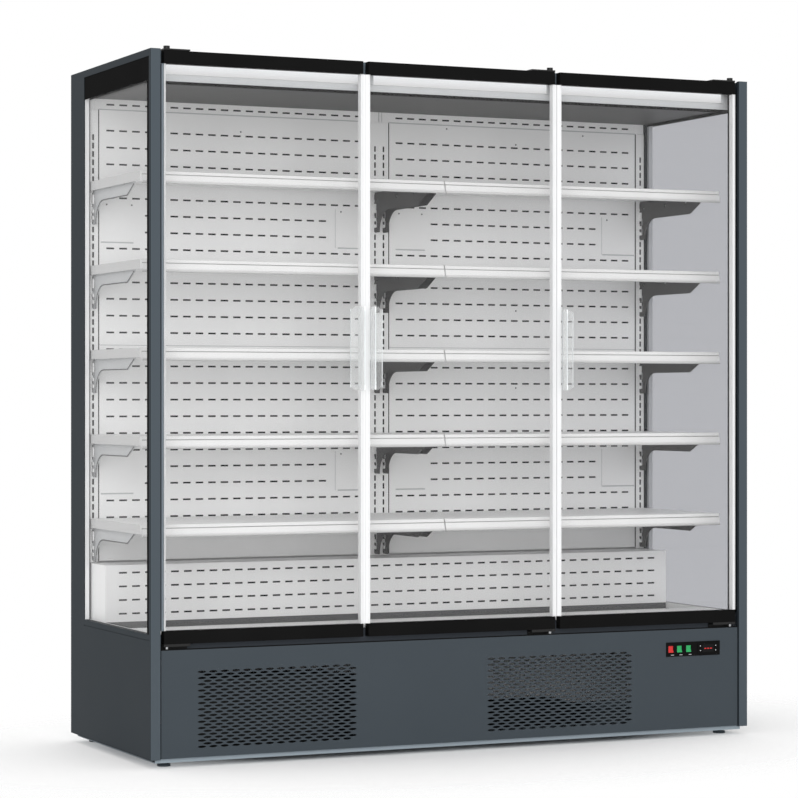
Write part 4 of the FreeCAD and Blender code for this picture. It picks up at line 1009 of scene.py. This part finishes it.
def shelf_brackets():
    """Hooked brackets under both ends of every tray; the row by the left glass is painted light grey
    as painted light, where the same brackets elsewhere are dark grey.
    """
    holes = [
        oblong(584.0, 595.0, -80.0, -58.0),
        oblong(584.0, 595.0, -111.0, -90.0),
        ring(578.0, -26.0, 4.5),
        ring(440.0, -24.0, 5.0),
        ring(312.0, -24.0, 5.0),
    ]
    plate = plate_with_holes(bracket_outline(), holes, 3.0)
    both_hands = ("brackets_left_hand", "brackets_right_hand")
    for name, finish, columns, nodes in (
        # Painted light: the brackets by the left glass are given a light grey, the same brackets
        # elsewhere dark grey.
        ("end_brackets_painted_light", LIGHT_GREY, BRACKETS[:1], ()),
        ("shelf_brackets", BRACKET_GREY, BRACKETS[1:], both_hands),
    ):
        hung = Shape()
        for u in columns:
            for top in SHELF_TOPS:
                moved = plate.copy()
                for vertex in moved.vertices:
                    vertex.co += Vector((u / 1000, 0.0, top / 1000))
                hung.add(moved)
                bpy.data.meshes.remove(moved)
        hung.piece(name, finish, "cabinet", *nodes, slot="grey_paint")


def bracket_ears():
    """White ears of the posts that show beside each bracket's hooks."""
    ears = Shape()
    for u in BRACKETS:
        for top in SHELF_TOPS:
            for low, high in ((-66.0, -38.0), (-92.0, -82.0), (-112.0, -102.0)):
                ears.block((u - 5.5, u - 1.6), (587.0, 599.5), (top + low, top + high))
    ears.piece("bracket_ears", WHITE, "cabinet", slot="white_paint")


def end_bracket_lips():
    """A folded lip in the brackets' dark grey along the lower edge of each light bracket, put there to
    draw that edge's dark outline: painted shade.
    """
    sides = (30.4, 31.5)
    bend = HEEL - THROAT
    inner, outer = throat_arc(THROAT), throat_arc(THROAT + 3.0)
    arm = [(286.0, ARM), (bend, ARM), (bend, ARM + 3.0), (286.0, ARM + 3.0)]
    nose = [(226.0, -32.0), (286.0, ARM), (286.0, ARM + 3.5), (228.0, -29.5)]
    # Painted shade: these dark lips draw the shaded lower edges of the light brackets.
    lips = Shape()
    for top in SHELF_TOPS:
        for k in range(8):
            lips.bar(lifted([inner[k], outer[k], outer[k + 1], inner[k + 1]], top), *sides)
        lips.bar(lifted(arm, top), *sides)
        lips.bar(lifted(nose, top), *sides)
    lips.piece("end_bracket_lips", BRACKET_GREY, "cabinet", slot="grey_paint")


def price_strips():
    """Leaning price rails: rolled lip, groove, flat face and a turned foot."""
    profile = [
        (148.0, 0.8),
        (136.5, 0.8),
        (133.8, -0.6),
        (133.0, -3.0),
        (131.2, -9.0),
        (132.4, -9.6),
        (132.2, -10.8),
        (130.6, -11.2),
        (126.6, -27.5),
        (124.8, -28.6),
        (123.6, -32.0),
        (124.6, -35.4),
        (127.6, -36.4),
        (131.0, -35.4),
        (131.4, -33.6),
        (128.0, -34.4),
        (126.2, -33.0),
        (127.0, -30.0),
        (128.6, -28.6),
        (134.6, -4.0),
        (137.4, -1.2),
        (148.0, -1.2),
    ]
    rails = Shape()
    for start, end in BAYS:
        for top in SHELF_TOPS:
            rails.bar(lifted(profile, top), start + 1.0, end - 1.0)
    return rails.piece("price_strips", RAIL_WHITE, "cabinet", "price_rails", slot="white_profile")


def honeycomb():
    """Air outlet honeycomb: six-sided cells right through, between two long walls."""
    size, wall = 12.0, 0.5
    start, first = 21.0, 64.0
    low, high = 1921.0, 1945.0
    columns, rows = 156, 9
    radius = size / math.sqrt(3)
    u, v = start + size / 2, first + size / 2
    outer = [(u + b, v + a) for a, b in ring(0.0, 0.0, radius, 6)]
    inner = [(u + b, v + a) for a, b in ring(0.0, 0.0, radius * (1 - 2 * wall / size), 6)]
    cell = Shape()
    for k in range(6):
        a, b = outer[k], outer[(k + 1) % 6]
        c, d = inner[k], inner[(k + 1) % 6]
        cell.face([(*a, low), (*b, low), (*d, low), (*c, low)])
        cell.face([(*a, high), (*c, high), (*d, high), (*b, high)])
        cell.face([(*c, low), (*d, low), (*d, high), (*c, high)])
    comb = Shape()
    row_pitch = size * math.sqrt(3) / 2
    comb.add(field(cell, BLACK, columns, rows, size, 0.0, size / 2, back=row_pitch))
    for a, b in ((first, first + 1.5), (162.5, 164.0)):
        comb.block(INSIDE, (a, b), (low, high))
    return comb.piece("honeycomb", BLACK, "cabinet", "air_honeycomb", slot="black_plastic")


def handle_edges():
    """Milky strips on the clear handles' cut edges, on each door, that draw the handles' bright edges
    as painted highlight.
    """
    grip, foot = (1054.0, 1292.0), (1060.0, 1286.0)
    grip_depth, foot_depth = (-25.0, -24.2), (1.2, 4.8)
    for door, free_edge, inward in ((1, 647.5, -1), (2, 664.5, 1), (3, 1287.5, 1)):
        near = free_edge + 6.0 * inward
        far = near + 36.0 * inward
        edges = Shape()
        # Painted highlight along the handle's edges.
        edges.block(sorted((near, near + 3.9 * inward)), grip_depth, grip)
        edges.block(sorted((far, far - 1.2 * inward)), foot_depth, foot)
        edges.block(sorted((near, near + 1.0 * inward)), foot_depth, foot)
        edges.piece(f"handle_edges_{door}", MILKY_EDGE_HIGHLIGHT, f"door_{door}", slot="clear_acrylic")


def edge_seals():
    """White lip seals that close the gaps between neighbouring doors."""
    low, high = DOOR_LOW + PRINTED_BAND + 1, DOOR_HIGH - PRINTED_BAND - 1
    depth = (8.0, 20.0)
    strips = {1: ((647.5, 655.7),), 2: ((656.3, 664.5), (1270.5, 1276.5)), 3: ((1278.5, 1287.5),)}
    for door, spans in strips.items():
        seal = Shape()
        for span in spans:
            seal.block(span, depth, (low, high))
        seal.piece(f"edge_seal_{door}", WHITE_PLASTIC, f"door_{door}", slot="white_profile")


def back_joints():
    """Folded joints and rivets of the outer back sheet."""
    joints = Shape()
    for u in (655.0, 1280.0):
        joints.block((u - 1.0, u + 1.0), (706.9, 707.4), (30.0, 1990.0))
    joints.piece("back_joints", LIGHT_GREY, "cabinet", slot="grey_paint")
    rivets = Shape()
    for u in (30.0, 647.0, 663.0, 1272.0, 1288.0, 1905.0):
        for k in range(9):
            rivets.disc(u, 80.0 + 230.0 * k, 707.0, 708.2, 3.2)
    return rivets.piece("back_rivets", ZINC, "cabinet", slot="zinc_steel")


def hinge_sleeves():
    """Bright bushes round the pins of the lower hinges."""
    sleeves = Shape()
    for u in (53.0, 1259.0, 1882.0):
        sleeves.bar(ring(u, 17.0, 4.6, 16), 329.5, 344.8, "w")
    return sleeves.piece("hinge_sleeves", ZINC, "cabinet", slot="hinge_steel")


def unit_spacers():
    """Aluminium spacers at the back edges of the sealed end units."""
    bars = Shape()
    for a, b, first in ((3.0, 15.0, 582.0), (1919.0, 1933.0, 574.0)):
        bars.block((a, b), (first, 584.8), (374.0, 1979.0))
    return bars.piece("unit_spacers", WHITE_PLASTIC, "cabinet", slot="white_profile")


def fascia_strip():
    """Steel strip behind the tops of the doors; the lamps show under its edge."""
    strip = Shape()
    strip.block((30.0, 1905.0), (36.0, 38.0), (1963.0, 1998.0))
    return strip.piece("fascia_strip", BLUE_GREY, "cabinet", "canopy_fascia", slot="fascia_paint")


def controller_face():
    """Plain display window and marks of the temperature controller, with no lettering."""
    face = Shape()
    face.block((1776.0, 1815.0), (1.2, 1.6), (257.0, 280.0))
    face.piece("controller_window", GLOSS_BLACK, "cabinet", slot="black_plastic")
    bars = Shape()
    for k in range(3):
        bars.block((1782.0 + 10 * k, 1789.0 + 10 * k), (0.9, 1.3), (266.5, 269.5))
    bars.piece("display_bars", RED, "cabinet", slot="red_key")
    marks = Shape()
    for u in (1671.0, 1701.0, 1733.0):
        marks.block((u - 5.0, u + 5.0), (2.7, 3.1), (251.0, 252.4))
    for w in (262.0, 276.0):
        marks.disc(1822.5, w, 1.2, 1.6, 1.6)
        marks.disc(1768.5, w, 1.2, 1.6, 1.6)
    return marks.piece("panel_marks", LIGHT_GREY, "cabinet", slot="grey_paint")


def lamp_ends():
    """Grey moulded caps on the lamps' ends."""
    caps = Shape()
    for start, end in ((20.0, 668.0), (690.0, 1274.0), (1296.0, 1880.0)):
        for a, b in ((start - 0.5, start + 9.0), (end - 9.0, end + 0.5)):
            caps.block((a, b), (49.5, 62.0), (1936.5, 1968.0))
    return caps.piece("lamp_ends", LIGHT_GREY, "cabinet", slot="grey_paint")


for side, (start, end) in zip(("left", "right"), DUCT_SHEETS):
    duct_sheet(f"duct_sheet_{side}", start, end, f"back_panel_{side}")
header_strip()
slotted_posts()
duct_painted_shade()
sheet_joints()
duct_screws()
coil_cover()
return_grille()
lower_liners()
shelf_brackets()
bracket_ears()
end_bracket_lips()
price_strips()
honeycomb()
fascia_strip()
unit_spacers()
hinge_sleeves()
handle_edges()
edge_seals()
back_joints()
controller_face()
lamp_ends()
vented_front()


# ---------------------------------------------------------------- studio


def floor_disc():
    """Pale floor that fades out round the object."""
    data = bpy.data.meshes.new("floor")
    radius, sink = 4.0, -0.0005
    rim = [(a, b, sink) for a, b in ring(0.0, 0.0, radius, 96)]
    data.from_pydata(rim, [], [tuple(range(len(rim)))])
    finish = Finish("pale floor")
    where, across, depth, _ = finish.position()
    cloud = finish.noise(where, 2.0)
    distance = ((across * 0.62) ** 2.0 + depth**2.0) ** 0.5
    solid_until, fade_length = 0.45, 0.75
    fade = ((distance - solid_until) / fade_length).held()
    pale = finish.blend(cloud, grey(0.92), grey(0.95))
    floor = finish.surface(Base_Color=pale, Roughness=0.8)
    clear = finish.node("ShaderNodeBsdfTransparent", {})[0]
    data.materials.append(finish.done(finish.mix(fade, floor, clear)))
    disc = bpy.data.objects.new("floor", data)
    bpy.context.scene.collection.objects.link(disc)


def soft_light(name, size, power, at, towards):
    lamp = bpy.data.lights.new(name, "AREA")
    lamp.shape = "RECTANGLE"
    lamp.size, lamp.size_y = size
    lamp.energy = power
    made = bpy.data.objects.new(name, lamp)
    made.location = at
    made.rotation_euler = (Vector(towards) - Vector(at)).to_track_quat("-Z", "Y").to_euler()
    bpy.context.scene.collection.objects.link(made)


def surroundings():
    """An even white room."""
    world = bpy.data.worlds.new("studio")
    world.use_nodes = True
    tree = world.node_tree
    tree.nodes.clear()
    light = tree.nodes.new("ShaderNodeBackground")
    light.inputs[0].default_value = grey(1.0)
    light.inputs[1].default_value = 1.0
    out = tree.nodes.new("ShaderNodeOutputWorld")
    tree.links.new(light.outputs[0], out.inputs[0])
    bpy.context.scene.world = world


def viewpoint():
    """The photograph's camera: level, half a pixel off centre, turned towards the right end."""
    turn = -24.81
    lens = bpy.data.cameras.new("camera")
    lens.sensor_width = 36.0
    lens.lens = 123.11
    lens.shift_y = -0.5 / PHOTO_SIDE
    lens.clip_end = 100.0
    seen = bpy.data.objects.new("camera", lens)
    seen.location = (-3.5143, -7.4909, 1.0286)
    seen.rotation_euler = (math.radians(90), 0.0, math.radians(turn))
    bpy.context.scene.collection.objects.link(seen)
    bpy.context.scene.camera = seen


floor_disc()
surroundings()
viewpoint()
soft_light("front", (5.0, 4.0), 255.0, (-3.0, -7.0, 2.2), (0.0, 0.0, 1.0))
bpy.context.scene.view_settings.view_transform = "Standard"
bpy.context.scene.cycles.transparent_max_bounces = 32
